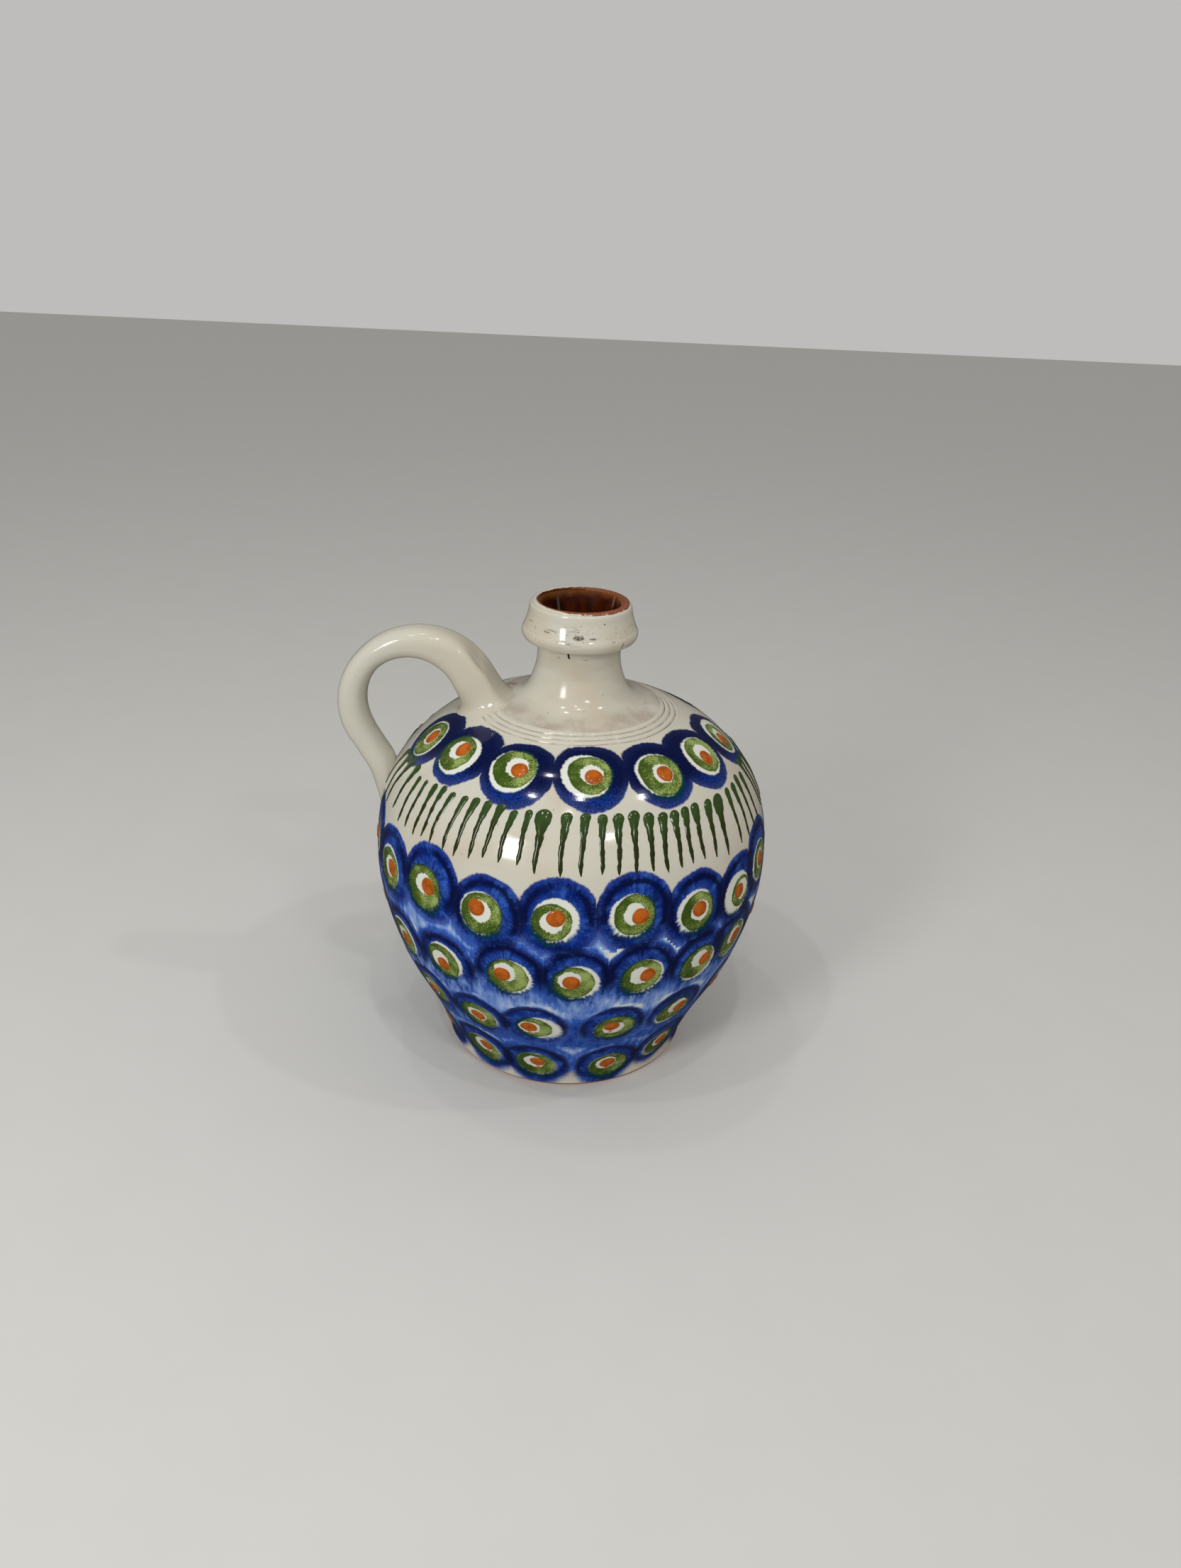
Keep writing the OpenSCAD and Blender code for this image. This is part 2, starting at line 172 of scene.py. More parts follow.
# Outline of the collar from its lower edge to the lip: how far it lies inside the greatest radius, and its
# height above the lower edge, in mm
COLLAR_OUTLINE = (
    (5.0, 0), (3.0, 0), (1.5, 0.35), (0.65, 1.05), (0.2, 1.9), (0, 2.8), (0.15, 3.8), (0.65, 4.8), (1.2, 6.3),
    (1.7, 7.8), (2.1, 9.3), (2.3, 10.8), (2.5, 11.7), (2.85, 12.15), (3.3, 12.2),
)

# Dirt in the glaze of the collar: turn in degrees from the front, height, half width and half height in mm,
# and how strongly it shows
SMUDGES = (
    (-63, 154.6, 1.5, 0.25, 0.45), (-53, 153.2, 0.35, 0.9, 0.45), (-31, 154.0, 2.4, 0.3, 0.5),
    (-35, 153.3, 1.5, 0.35, 0.6), (-1, 152.7, 1.9, 0.9, 0.95), (14, 152.5, 1.6, 0.35, 0.75),
    (-11, 150.9, 1.2, 0.3, 0.6), (-3, 150.4, 2.0, 0.16, 0.5), (35, 151.1, 0.8, 0.25, 0.5),
    (-1.7, 154.5, 0.25, 0.25, 1.0), (27, 156.6, 0.25, 0.25, 0.9), (1, 156.2, 0.45, 0.25, 0.5),
)

# Other marks, as turn, height, half width and half height: brown dirt with painted shade in the corner behind
# the handle, on both sides of the seam, dirt on the neck, and dirt at the top of its crack
DIRT_AND_SHADE_BELOW_SEAM = (-112, 125.0, 2.5, 1.2)
DIRT_AND_SHADE_ABOVE_SEAM = (-112, 126.3, 2.5, 1.2)
NECK_SMUDGE = (9, 144.2, 0.9, 0.25)
NECK_CRACK_TOP = (-11.5, 146.5, 1.0, 0.35)

# Hair cracks: turn in degrees from the front, heights of both ends and width in mm, and lean
NECK_CRACK = (-14, 144.3, 147.0, 0.55, 0.25)
COLLAR_CRACK = (46, 148.1, 150.4, 0.3, -0.35)

# Thickness of the handle in mm at angles in degrees round its loop, from the lower leg to the upper joint
HANDLE_THICKNESS = (
    (-40, 9.0), (-20, 9.6), (0, 9.5), (30, 8.7), (45, 8.4), (60, 8.8), (90, 10.1), (130, 12.4), (160, 14.2)
)

# Where the handle grows wider, where its sides grow flatter and where the thumb pressed, in degrees round its
# loop
WIDER_FROM = 80
WIDER_SPAN = 80
FLATTER_FROM = 60
FLATTER_SPAN = 70
THUMB_AT = 143
THUMB_SPAN = 13

# Power that makes the handle's section an oval with rather flat sides
HANDLE_POWER = 0.85

# Turn of the handle's plane from the front, the most that its lower leg can need to reach the belly, and how
# far its tail stands proud of the wall at first and is sunk at its end
HANDLE_TURN = -np.pi / 2
LONGEST_LEG = 60 * MM
TAIL_PROUD = 6 * MM
TAIL_SUNK = 0.5 * MM

# Skirt of the handle on the shoulder: height of its middle, reach towards the neck and away from it, half
# width, least radius that its turn is worked out with, how deep its edge is and how deep it ends in the clay
SKIRT_Z = 124.6 * MM
SKIRT_IN = 12.5 * MM
SKIRT_OUT = 11.5 * MM
SKIRT_HALF_W = 13 * MM
SKIRT_LEAST_R = 22 * MM
SKIRT_SUNK = 0.12 * MM
SKIRT_BURIED = 2.5 * MM

# Outline of the wall: points along it, height above which the grooves lie, and the finer part below the seam
OUTLINE_POINTS = 2400
GROOVES_ABOVE = 110 * MM
FINE_BAND = 9.5 * MM

# Rows of points on the body below its finer part and in it, on the neck and on the collar, rings of the
# handle's loop and of its skirt, and the innermost ring under the foot as a share of its radius
BODY_ROWS = 112
FINE_ROWS = 60
NECK_ROWS = 70
COLLAR_ROWS = 80
LOOP_RINGS = 90
SKIRT_RINGS = 22
SOLE_SHARE = 0.55

# Angle from which an edge counts as sharp, on turned pieces and on tubes
TURNED_SHARP = np.radians(40)
TUBE_SHARP = np.radians(60)

# Marks of throwing: step and depth of the rings left by the fingers, and depth of the slow unevenness
FINGER_STEP = 1.15 * MM
FINGER_DEPTH = 0.03 * MM
SWELL_DEPTH = 0.14 * MM

# Share of its true length that a hidden face gets on the map for baking, and the strip for a pole at each end
HIDDEN_SHARE = 0.1
POLE_STRIP = 0.02

# Lamps: the window's place and size, and for each smaller lamp its name, place, size and share of the power
WINDOW_PLACE = (-0.44, -0.62, 0.46)
WINDOW_SIZE = (0.16, 0.26)
BULB_SIZE = (0.025, 0.025)
BULBS = (
    ("bulb_left", (-0.27, -0.26, 0.84), BULB_SIZE, 1.0),
    ("bulb_middle", (0.05, -0.3, 0.9), BULB_SIZE, 1.0),
    ("bulb_right", (0.44, -0.16, 0.79), BULB_SIZE, 1.0),
    ("bulb_back", (-0.14, 0.02, 0.93), BULB_SIZE, 0.6),
    ("bulb_front", (-0.03, -0.48, 0.84), BULB_SIZE, 0.6),
    ("strip", (0.28, -0.58, 0.645), (0.1, 0.012), 1.0),
)
FLOOR_REACH = 3.0
SENSOR_MM = 36


def srgb(red, green, blue):
    """Linear colour of a screen colour given as three values from 0 to 255."""
    c = np.array((red, green, blue)) / 255
    return tuple(np.where(c <= 0.04045, c / 12.92, ((c + 0.055) / 1.055) ** 2.4))


def length(name, default, description):
    """A length in metres that a user can change."""
    return bpy.props.FloatProperty(
        name=name, description=description, default=default, precision=5, unit="LENGTH", subtype="DISTANCE"
    )


def colour(name, default, description):
    """A colour that a user can change."""
    return bpy.props.FloatVectorProperty(
        name=name, description=description, default=default, size=3, min=0, max=1, subtype="COLOR"
    )


class JugShape(bpy.types.PropertyGroup):
    """Sizes of the jug, in metres; those that the frame shows are read from it."""

    foot_r: length("Foot radius", 43 * MM, "Radius of the foot")
    foot_h: length("Foot height", 4 * MM, "Height of the upright foot band")
    foot_bevel: length("Foot bevel", 1.2 * MM, "Bevel under the edge of the foot")
    lower_z: length("Lower height", 17 * MM, "Height where the wall starts to swell")
    lower_out: length("Lower swell", 5.5 * MM, "How far the wall stands out from the foot at that height")
    belly_r: length("Belly radius", BODY_HIGH.y, "Greatest radius of the belly")
    belly_z: length("Belly height", 73.5 * MM, "Height of the greatest radius")
    flank_in: length("Flank inset", 6.2 * MM, "How far the flank lies inside the greatest radius")
    flank_z: length("Flank height", 42.5 * MM, "Height of the flank")
    turn_in: length("Turn inset", 4.8 * MM, "How far the wall lies in where the shoulder turns")
    turn_drop: length("Turn drop", 26.8 * MM, "Height of that turn below the seam")
    shoulder_in: length("Shoulder inset", 18.8 * MM, "How far the wall lies in halfway up the shoulder")
    shoulder_drop: length("Shoulder drop", 10 * MM, "Height of that point below the seam")
    seam_z: length("Seam height", BODY_HIGH.z, "Height of the seam between the body and the neck")
    seam_r: length("Seam radius", 27.6 * MM, "Radius of that seam")
    root_r: length("Root radius", 18.2 * MM, "Radius on the wide root of the neck")
    root_rise: length("Root rise", 3.8 * MM, "Height of that point above the seam")
    neck_foot_r: length("Neck foot radius", 14.3 * MM, "Radius of the neck at its foot")
    neck_foot_rise: length("Neck foot rise", 11.8 * MM, "Height of that point above the seam")
    neck_r: length("Neck radius", 13.9 * MM, "Radius of the neck under the collar")
    collar_z: length("Collar height", COLLAR_LOW.z, "Height of the lower edge of the collar")
    collar_r: length("Collar radius", COLLAR_HIGH.y, "Greatest radius of the collar")
    lip_z: length("Lip height", NECK_HIGH.z, "Height of the lip")
    lip_r: length("Lip radius", 15.6 * MM, "Outer radius of the lip")
    lip_h: length("Lip rounding", 0.8 * MM, "Height of the rounded lip")
    mouth_r: length("Mouth radius", 13 * MM, "Radius of the mouth inside the glaze")
    funnel_h: length("Funnel depth", 14 * MM, "Depth of the funnel from the lip to the throat")
    throat_r: length("Throat radius", 10 * MM, "Radius of the throat inside the glaze")
    throat_h: length("Throat height", 14 * MM, "Height of the straight throat")
    wall: length("Wall", 5 * MM, "Thickness of the clay wall")
    floor_t: length("Floor", 7 * MM, "Thickness of the floor")
    floor_corner: length("Floor corner", 9 * MM, "Radius of the corner between the floor and the wall")
    glaze_t: length("Glaze", 0.5 * MM, "Thickness of the glaze inside")
    groove_gap: length("Groove gap", 1.4 * MM, "Distance from the seam to the innermost groove")
    groove_step: length("Groove step", 1.8 * MM, "Step from one groove to the next")
    groove_depth: length("Groove depth", 0.45 * MM, "Depth of a groove")
    loop_x: length("Loop reach", 53 * MM, "Distance of the middle of the handle's loop from the axis")
    loop_z: length("Loop height", 122.5 * MM, "Height of the middle of the handle's loop")
    loop_r: length("Loop radius", 21.3 * MM, "Radius of the loop at the middle of the clay")
    handle_w: length("Handle width", 12.4 * MM, "Width of the handle")
    join_w: length("Joint width", 17 * MM, "Width of the handle at the upper joint")
    foot_w: length("Handle foot width", 14 * MM, "Width where the lower leg meets the belly")
    tail_h: length("Tail length", 17 * MM, "Length of the tail smoothed down the belly")
    tail_w: length("Tail width", 7 * MM, "Width at the end of the tail")
    thumb: length("Thumb mark", 1.8 * MM, "Depth of the thumb mark at the upper joint")
    dot_r: length("Dot radius", 2.6 * MM, "Radius of a slip dot")
    dot_h: length("Dot height", 0.36 * MM, "Height of a slip dot")
    stroke_top: length("Stroke edge", 111 * MM, "Height of the upper edge of the strokes")
    stroke_tail: length("Stroke tail width", 1.3 * MM, "Width of the tail of a stroke")
    stroke_h: length("Stroke height", 0.4 * MM, "Height of a stroke above the wall")


class JugPaint(bpy.types.PropertyGroup):
    """Colours of the clay, the glazes and the painted rings."""

    cream: colour("Cream", srgb(195, 191, 177), "Cream glaze")
    warm_cream: colour("Warm cream", srgb(189, 176, 155), "Cream glaze where it lies thin")
    mauve: colour("Mauve", srgb(168, 154, 140), "Scraped clay between the neck and the grooves")
    groove: colour("Groove", srgb(122, 86, 64), "Brown in the grooves")
    smudge: colour("Smudge", srgb(84, 75, 64), "Grey smudges on the collar")
    crack: colour("Crack", srgb(24, 18, 12), "Dirt in the cracks")
    terracotta: colour("Terracotta", srgb(143, 80, 53), "Bare clay of the lip")
    bare_clay: colour("Bare clay", srgb(170, 120, 88), "Bare clay under the foot")
    brown: colour("Brown", srgb(70, 27, 10), "Brown glaze inside")
    thin_brown: colour("Thin brown", srgb(118, 68, 30), "Brown glaze where it thins out at the lip")
    navy: colour("Navy", srgb(4, 13, 54), "Darkest blue")
    ink: colour("Ink blue", srgb(5, 27, 102), "Dark line in a ring")
    blue: colour("Blue", srgb(16, 52, 138), "Blue of a ring")
    wash: colour("Wash", srgb(54, 96, 182), "Blue wash between the rings")
    pale_wash: colour("Pale wash", srgb(136, 163, 212), "Thin blue wash")
    violet: colour("Violet blue", srgb(70, 88, 156), "Soft edge of a ring")
    white: colour("White", srgb(213, 214, 203), "White of an eye")
    green: colour("Green", srgb(92, 110, 44), "Green of an eye")
    dark_green: colour("Dark green", srgb(56, 77, 24), "Darkest green of an eye")
    pale_green: colour("Pale green", srgb(152, 168, 100), "Lightest green of an eye")
    teal: colour("Teal", srgb(4, 48, 58), "Green over blue")
    orange: colour("Orange", srgb(182, 92, 25), "Orange slip of the dots")
    stroke: colour("Stroke green", srgb(48, 68, 30), "Green slip of the strokes")
    stroke_end: colour("Stroke tail", srgb(40, 47, 17), "Green slip in the tail of a stroke")
    floor: colour("Floor", srgb(205, 203, 199), "Floor under the jug")
    air: colour("Left surroundings", (0.48, 0.5, 0.5), "Soft light from the left")
    warm_air: colour("Right surroundings", (0.62, 0.56, 0.51), "Soft light from the right")
    mirrored: colour("Mirrored surroundings", (0.08, 0.08, 0.085), "Surroundings as the glaze mirrors them")
    backdrop: colour("Backdrop", srgb(190, 189, 187), "Backdrop behind the jug")


class JugStage(bpy.types.PropertyGroup):
    """Camera and lamps."""

    eye: bpy.props.FloatVectorProperty(
        name="Camera place", description="Place of the camera", default=(0, -0.35924, 0.26621),
        size=3, precision=5, unit="LENGTH", subtype="TRANSLATION"
    )
    yaw: bpy.props.FloatProperty(
        name="Yaw", description="Turn of the camera to its right", default=np.radians(0.9127),
        unit="ROTATION", subtype="ANGLE"
    )
    pitch: bpy.props.FloatProperty(
        name="Pitch", description="Tilt of the camera downwards", default=np.radians(25.4763),
        unit="ROTATION", subtype="ANGLE"
    )
    roll: bpy.props.FloatProperty(
        name="Roll", description="Roll of the camera", default=np.radians(-2.7006),
        unit="ROTATION", subtype="ANGLE"
    )
    focal_px: bpy.props.FloatProperty(
        name="Focal length", description="Focal length in pixels of the photograph", default=1640,
        subtype="PIXEL"
    )
    frame_px: bpy.props.FloatProperty(
        name="Frame height", description="Long side of the photograph in pixels", default=2212,
        subtype="PIXEL"
    )
    window_power: bpy.props.FloatProperty(
        name="Window power", description="Power of the window-like lamp", default=2.6, subtype="POWER"
    )
    bulb_power: bpy.props.FloatProperty(
        name="Bulb power", description="Power of each small lamp", default=0.5, subtype="POWER"
    )


def around(count):
    """Angles in even steps once round."""
    return np.arange(count) * FULL_TURN / count


def unit(vectors):
    """Vectors brought to a length of one."""
    return vectors / np.linalg.norm(vectors, axis=-1, keepdims=True)


def cubic(t, start, end, start_slope, end_slope):
    """Cubic from a start, where t is 0, to an end, where t is 1, with its slopes there."""
    rise = 3 * t**2 - 2 * t**3
    line = (1 - rise) * start + rise * end
    return line + (t**3 - 2 * t**2 + t) * start_slope + (t**3 - t**2) * end_slope


def spline(stations, steps):
    """Smooth curve through stations: cubic pieces whose slope at a station is the mean of the two
    neighbouring chords, each weighted by the length of the other."""
    s = np.asarray(stations, float)
    chord = np.diff(s, axis=0)
    span = np.linalg.norm(chord, axis=1)[:, None]
    pace = chord / span
    slope = np.empty_like(s)
    slope[1:-1] = (pace[:-1] * span[1:] + pace[1:] * span[:-1]) / (span[:-1] + span[1:])
    slope[0] = 2 * pace[0] - slope[1]
    slope[-1] = 2 * pace[-1] - slope[-2]
    t = (np.arange(steps) / steps)[None, :, None]
    piece = cubic(t, s[:-1, None], s[1:, None], (span * slope[:-1])[:, None], (span * slope[1:])[:, None])
    return np.vstack([piece.reshape(-1, s.shape[1]), s[-1:]])


def lengths_along(curve):
    """Distance of each point of a curve from its first, along the curve."""
    return np.concatenate([[0], np.cumsum(np.linalg.norm(np.diff(curve, axis=0), axis=1))])


def at_lengths(curve, wanted):
    """Points of a curve at given distances along it."""
    run = lengths_along(curve)
    return np.stack([np.interp(wanted, run, curve[:, k]) for k in range(curve.shape[1])], -1)


def normals_of(curve):
    """Unit vectors to the right of a curve's direction, which point out of the clay on a rising outline."""
    d = np.gradient(curve, axis=0)
    return unit(np.stack([d[:, 1], -d[:, 0]], 1))


def bell(x):
    """Smooth hump: one at zero and nearly nothing past two."""
    return np.exp(-(x**2))


class Wall:
    """Outside of the clay from the foot to the collar, as points at a distance along the outline, a turn
    from the front and a lift off the surface. The turn is 0 at the front, towards -Y, and grows to +X."""

    def __init__(self, shape):
        belly = shape.belly_r
        seam = shape.seam_z
        stations = [
            (shape.foot_r, shape.foot_h),
            (shape.foot_r + shape.lower_out, shape.lower_z),
            (belly - shape.flank_in, shape.flank_z),
            (belly, shape.belly_z),
            (belly - shape.turn_in, seam - shape.turn_drop),
            (belly - shape.shoulder_in, seam - shape.shoulder_drop),
            (shape.seam_r, seam),
            (shape.root_r, seam + shape.root_rise),
            (shape.neck_foot_r, seam + shape.neck_foot_rise),
            (shape.neck_r, shape.collar_z),
        ]
        curve = np.vstack([[(shape.foot_r, shape.foot_bevel)], spline(stations, steps=40)])
        self.end = lengths_along(curve)[-1]
        self.run = np.linspace(0, self.end, OUTLINE_POINTS)
        self.curve = at_lengths(curve, self.run)
        self.out = normals_of(self.curve)
        self.seam = self.along(seam)
        self.grooves = shape.seam_r + shape.groove_gap + shape.groove_step * np.arange(3)
        self.depth = shape.groove_depth

    def along(self, height):
        """Distance along the outline at a height."""
        return np.interp(height, self.curve[:, 1], self.run)

    def radius_at(self, height):
        """Radius of the outline at a height."""
        return np.interp(height, self.curve[:, 1], self.curve[:, 0])

    def profile(self, along):
        """Radius and height at distances along the outline, and the outward normal there."""
        return [np.interp(along, self.run, values) for values in (*self.curve.T, *self.out.T)]

    def cut(self, along, turn):
        """Depth of the grooves from 0 to 1: sharp lines, which waver a little, between rounded ridges."""
        r, z, _, _ = self.profile(along)
        r = r + 0.14 * MM * np.sin(3 * turn + 0.6) + 0.08 * MM * np.sin(7 * turn)
        inner, outer = self.grooves[0], self.grooves[-1]
        step = self.grooves[1] - inner
        lines = (1 - np.abs(np.sin(np.pi * (r - inner) / step))) ** 1.5
        fade = np.clip((r - inner) / step + 1, 0, 1) * np.clip((outer - r) / step + 1, 0, 1)
        return lines * np.minimum(2 * fade, 1) * (z > GROOVES_ABOVE)

    def hollow(self, along, turn):
        """How far the surface lies under the outline: the grooves, the faint rings left by the fingers and a
        slow unevenness round the pot."""
        rings = 0.5 + 0.5 * np.sin(along / FINGER_STEP + 0.8 * np.sin(2 * turn))
        swell = 0.5 + 0.25 * np.sin(2 * turn + 30 * along) + 0.25 * np.sin(3 * turn - 55 * along + 1)
        return self.depth * self.cut(along, turn) + FINGER_DEPTH * rings + SWELL_DEPTH * swell

    def at(self, along, turn, lift=0.0):
        """Points on the surface, raised along its normal by a lift."""
        along, turn = np.broadcast_arrays(along, turn)
        r, z, out_r, out_z = self.profile(along)
        off = lift - self.hollow(along, turn)
        r = r + off * out_r
        return np.stack([r * np.sin(turn), -r * np.cos(turn), z + off * out_z], -1)


def inner_body(shape, wall):
    """Inside of the body for a wall of some thickness, from the middle of the floor up to the seam: the
    outline moved inwards, with a quarter round into the floor."""
    outline = Wall(shape)
    keep = outline.run <= outline.seam
    side = outline.curve[keep] - wall * outline.out[keep]
    floor = shape.floor_t + wall - shape.wall
    corner_z = floor + shape.floor_corner
    corner_r = np.interp(corner_z, side[:, 1], side[:, 0]) - shape.floor_corner
    a = np.radians(np.arange(90, -1, -10))
    arc = np.stack([corner_r + shape.floor_corner * np.cos(a), corner_z - shape.floor_corner * np.sin(a)], 1)
    upper = side[side[:, 1] > corner_z]
    picked = at_lengths(upper, np.linspace(0, lengths_along(upper)[-1], 30))
    return np.vstack([[(0, floor)], arc, picked])


def inner_neck(shape, wall):
    """Inside of the neck for the same wall, from the seam up to the lip: a quarter of an ellipse, the
    straight throat and the funnel."""
    grown = wall - shape.wall
    r = shape.throat_r + shape.glaze_t - grown
    throat_top = shape.lip_z - shape.funnel_h
    throat_end = throat_top - shape.throat_h
    seam = inner_body(shape, wall)[-1]
    a = np.radians(np.arange(85, -1, -5))
    wide, high = seam[0] - r, throat_end - seam[1]
    flare = np.stack([seam[0] - wide * np.cos(a), throat_end - high * np.sin(a)], 1)
    lip = (shape.mouth_r + shape.glaze_t - grown, shape.lip_z - shape.lip_h)
    funnel = np.linspace((r, throat_top), lip, 8)
    return np.vstack([flare, funnel])


def put_mesh(name, points, quads, ends, smooth_angle):
    """A new object in the scene from points, faces of four corners and end faces of three, turned outwards if
    its volume comes out negative."""
    fans = np.vstack([quads[:, [0, 1, 2]], quads[:, [0, 2, 3]], ends])
    volume = np.einsum("ij,ij->", points[fans[:, 0]], np.cross(points[fans[:, 1]], points[fans[:, 2]]))
    if volume < 0:
        quads, ends = quads[:, ::-1], ends[:, ::-1]
    corners = np.concatenate([quads.ravel(), ends.ravel()]).astype(np.int32)
    starts = np.concatenate([4 * np.arange(len(quads)), quads.size + 3 * np.arange(len(ends))])
    mesh = bpy.data.meshes.new(name)
    mesh.vertices.add(len(points))
    mesh.vertices.foreach_set("co", points.astype(np.float32).ravel())
    mesh.loops.add(len(corners))
    mesh.loops.foreach_set("vertex_index", corners)
    mesh.polygons.add(len(starts))
    mesh.polygons.foreach_set("loop_start", starts.astype(np.int32))
    mesh.update(calc_edges=True)
    if mesh.validate():
        raise RuntimeError(name + " has faulty faces")
    mesh.shade_smooth()
    mesh.set_sharp_from_angle(angle=smooth_angle)
    made = bpy.data.objects.new(name, mesh)
    bpy.context.scene.collection.objects.link(made)
    return made


def lathe(name, rows, poles=(), weight=1.0):
    """A closed surface turned about the axis. rows is an array of points, one row for each place on the
    profile and one column for each turn. With no poles the profile is a ring, and its last row joins its
    first. With two poles, which are heights on the axis, each end row closes on one point."""
    count, columns, _ = rows.shape
    i, j = np.meshgrid(np.arange(count), np.arange(columns), indexing="ij")
    index = i * columns + j
    right = np.roll(index, -1, axis=1)
    above = np.roll(index, -1, axis=0)
    above_right = np.roll(right, -1, axis=0)
    quads = np.stack([index, right, above_right, above], -1)
    points = rows.reshape(-1, 3)
    ends = np.empty((0, 3), int)
    if len(poles):
        quads = quads[:-1]
        first = np.stack([np.full(columns, count * columns), right[0], index[0]], 1)
        last = np.stack([np.full(columns, count * columns + 1), index[-1], right[-1]], 1)
        points = np.vstack([points, [(0, 0, poles[0]), (0, 0, poles[1])]])
        ends = np.vstack([first, last])
    piece = put_mesh(name, points, quads.reshape(-1, 4), ends, TURNED_SHARP)
    lay_flat(piece, rows, bool(len(poles)), weight)
    return piece


def lay_flat(piece, rows, closed, weight):
    """The map on which the paint of a turned piece can be baked: u goes once round, and v follows the
    profile, where each step to the next row counts by its length times its weight. A closed piece keeps a
    narrow strip at each end for its poles."""
    mesh = piece.data
    count, columns, _ = rows.shape
    corner = np.empty(len(mesh.loops), np.int32)
    mesh.loops.foreach_get("vertex_index", corner)
    start = np.empty(len(mesh.polygons), np.int32)
    mesh.polygons.foreach_get("loop_start", start)
    face = np.repeat(np.arange(len(start)), np.diff(np.append(start, len(corner))))
    row, column = np.divmod(corner, columns)
    pole = row >= count
    near = np.minimum.reduceat(np.where(pole, columns, column), start)
    far = np.maximum.reduceat(np.where(pole, -1, column), start)
    last = far - near > 1
    u = np.where(last[face] & (column == 0), columns, column)
    u = np.where(pole, np.where(last, columns, near + 1)[face] - 0.5, u) / columns
    step = np.linalg.norm(np.roll(rows[:, 0], -1, axis=0) - rows[:, 0], axis=1) * weight
    run = np.concatenate([[0], np.cumsum(step)])
    joint = np.maximum.reduceat(row, start) - np.minimum.reduceat(row, start) > 1
    v = run[np.where(joint[face] & (row == 0), count, np.minimum(row, count))] / run[-1]
    if closed:
        v = POLE_STRIP + (1 - 2 * POLE_STRIP) * run[np.minimum(row, count - 1)] / run[count - 1]
        v = np.where(pole, column, v)
    layer = mesh.uv_layers.new(name="OFBake")
    layer.uv.foreach_set("vector", np.stack([u, v], 1).astype(np.float32).ravel())


def spun(profile, columns):
    """Points of a profile of (radius, height), turned about the axis in even steps."""
    turn = around(columns)
    r = profile[:, 0, None]
    z = np.broadcast_to(profile[:, 1, None], (len(profile), columns))
    return np.stack([r * np.sin(turn), -r * np.cos(turn), z], -1)


def tubes(name, rings):
    """Closed tubes. rings has one block for each tube, one row for each ring and one column for each point
    round it, and each end closes on the middle of its ring."""
    count, rows, sides, _ = rings.shape
    size = rows * sides + 2
    block = np.arange(count)[:, None, None] * size
    i, j = np.meshgrid(np.arange(rows), np.arange(sides), indexing="ij")
    index = block + (i * sides + j)[None]
    right = np.roll(index, -1, axis=2)
    quads = np.stack([index[:, :-1], index[:, 1:], right[:, 1:], right[:, :-1]], -1).reshape(-1, 4)
    start = np.broadcast_to(block[:, 0] + rows * sides, (count, sides))
    stop = start + 1
    first = np.stack([start, index[:, 0], right[:, 0]], -1).reshape(-1, 3)
    last = np.stack([stop, right[:, -1], index[:, -1]], -1).reshape(-1, 3)
    ends = np.stack([rings[:, 0].mean(1), rings[:, -1].mean(1)], 1)
    points = np.concatenate([rings.reshape(count, -1, 3), ends], 1).reshape(-1, 3)
    return put_mesh(name, points, quads, np.vstack([first, last]), TUBE_SHARP)


def point_values(piece, name, values):
    """Stores one number at each point of a piece."""
    layer = piece.data.attributes.new(name, "FLOAT", "POINT")
    layer.data.foreach_set("value", np.asarray(values, np.float32))


def corner_vectors(piece, name, values):
    """Stores three numbers at each corner of each face of a piece."""
    layer = piece.data.attributes.new(name, "FLOAT_VECTOR", "CORNER")
    layer.data.foreach_set("vector", np.asarray(values, np.float32).ravel())


def wrap(turn):
    """A turn brought between minus and plus half a turn."""
    return (turn + np.pi) % FULL_TURN - np.pi


def eyes(shape):
    """Every painted eye as a row of numbers: turn and distance along the outline of its ring, radius of the
    ring, radius of the dark line in it, seed, then place and radius in mm of the white, the green, the inner
    white and the dot, and the row's number. Eyes that the viewer sees are where they were painted. The rest
    fill the way round evenly, with some unevenness."""
    wall = Wall(shape)
    random = np.random.default_rng(7)
    found = []
    for row, seen in enumerate(EYES_SEEN):
        seen = np.array(seen)
        hidden, first, last, drop = EYES_UNSEEN[row]
        even = np.zeros((hidden, seen.shape[1]))
        even[:, 0] = np.linspace(first, last, hidden)
        even[:, 1] = seen[:, 1].mean() - drop
        shift, look = random.normal(0, 0.6, (hidden, 2)), random.normal(0, 1.0, (hidden, 2))
        even[:, 2:4] = random.normal(0, 0.8, (hidden, 2))
        even[:, 4:6] = even[:, 2:4] + shift
        even[:, 6:8] = even[:, 4:6] + 0.6 * random.normal(0, 0.6, (hidden, 2))
        even[:, 8:10] = even[:, 6:8] + look
        even[:, 10] = seen[:, 10].mean()
        even[:, :2] += random.normal(0, 0.7, (hidden, 2))
        table = np.vstack([seen, even])
        n = len(table)
        ring, dark, white, rise = RINGS[row]
        table[:, 3:10:2] -= rise
        spread = random.uniform(0.98, 1.02, (n, 3))
        inner_r = INNER_R * spread[:, 1]
        dot_r = shape.dot_r / MM * random.uniform(0.94, 1.06, n)
        found.append(np.column_stack([
            np.radians(table[:, 0]), wall.along(table[:, 1] * MM) + rise * MM, ring * spread[:, 0],
            dark * spread[:, 0], random.uniform(1, 9, n), table[:, 2:4], white * spread[:, 2],
            table[:, 4:6], table[:, 10], table[:, 6:8], inner_r, table[:, 8:10], dot_r, np.full(n, row)
        ]))
    return np.vstack(found)


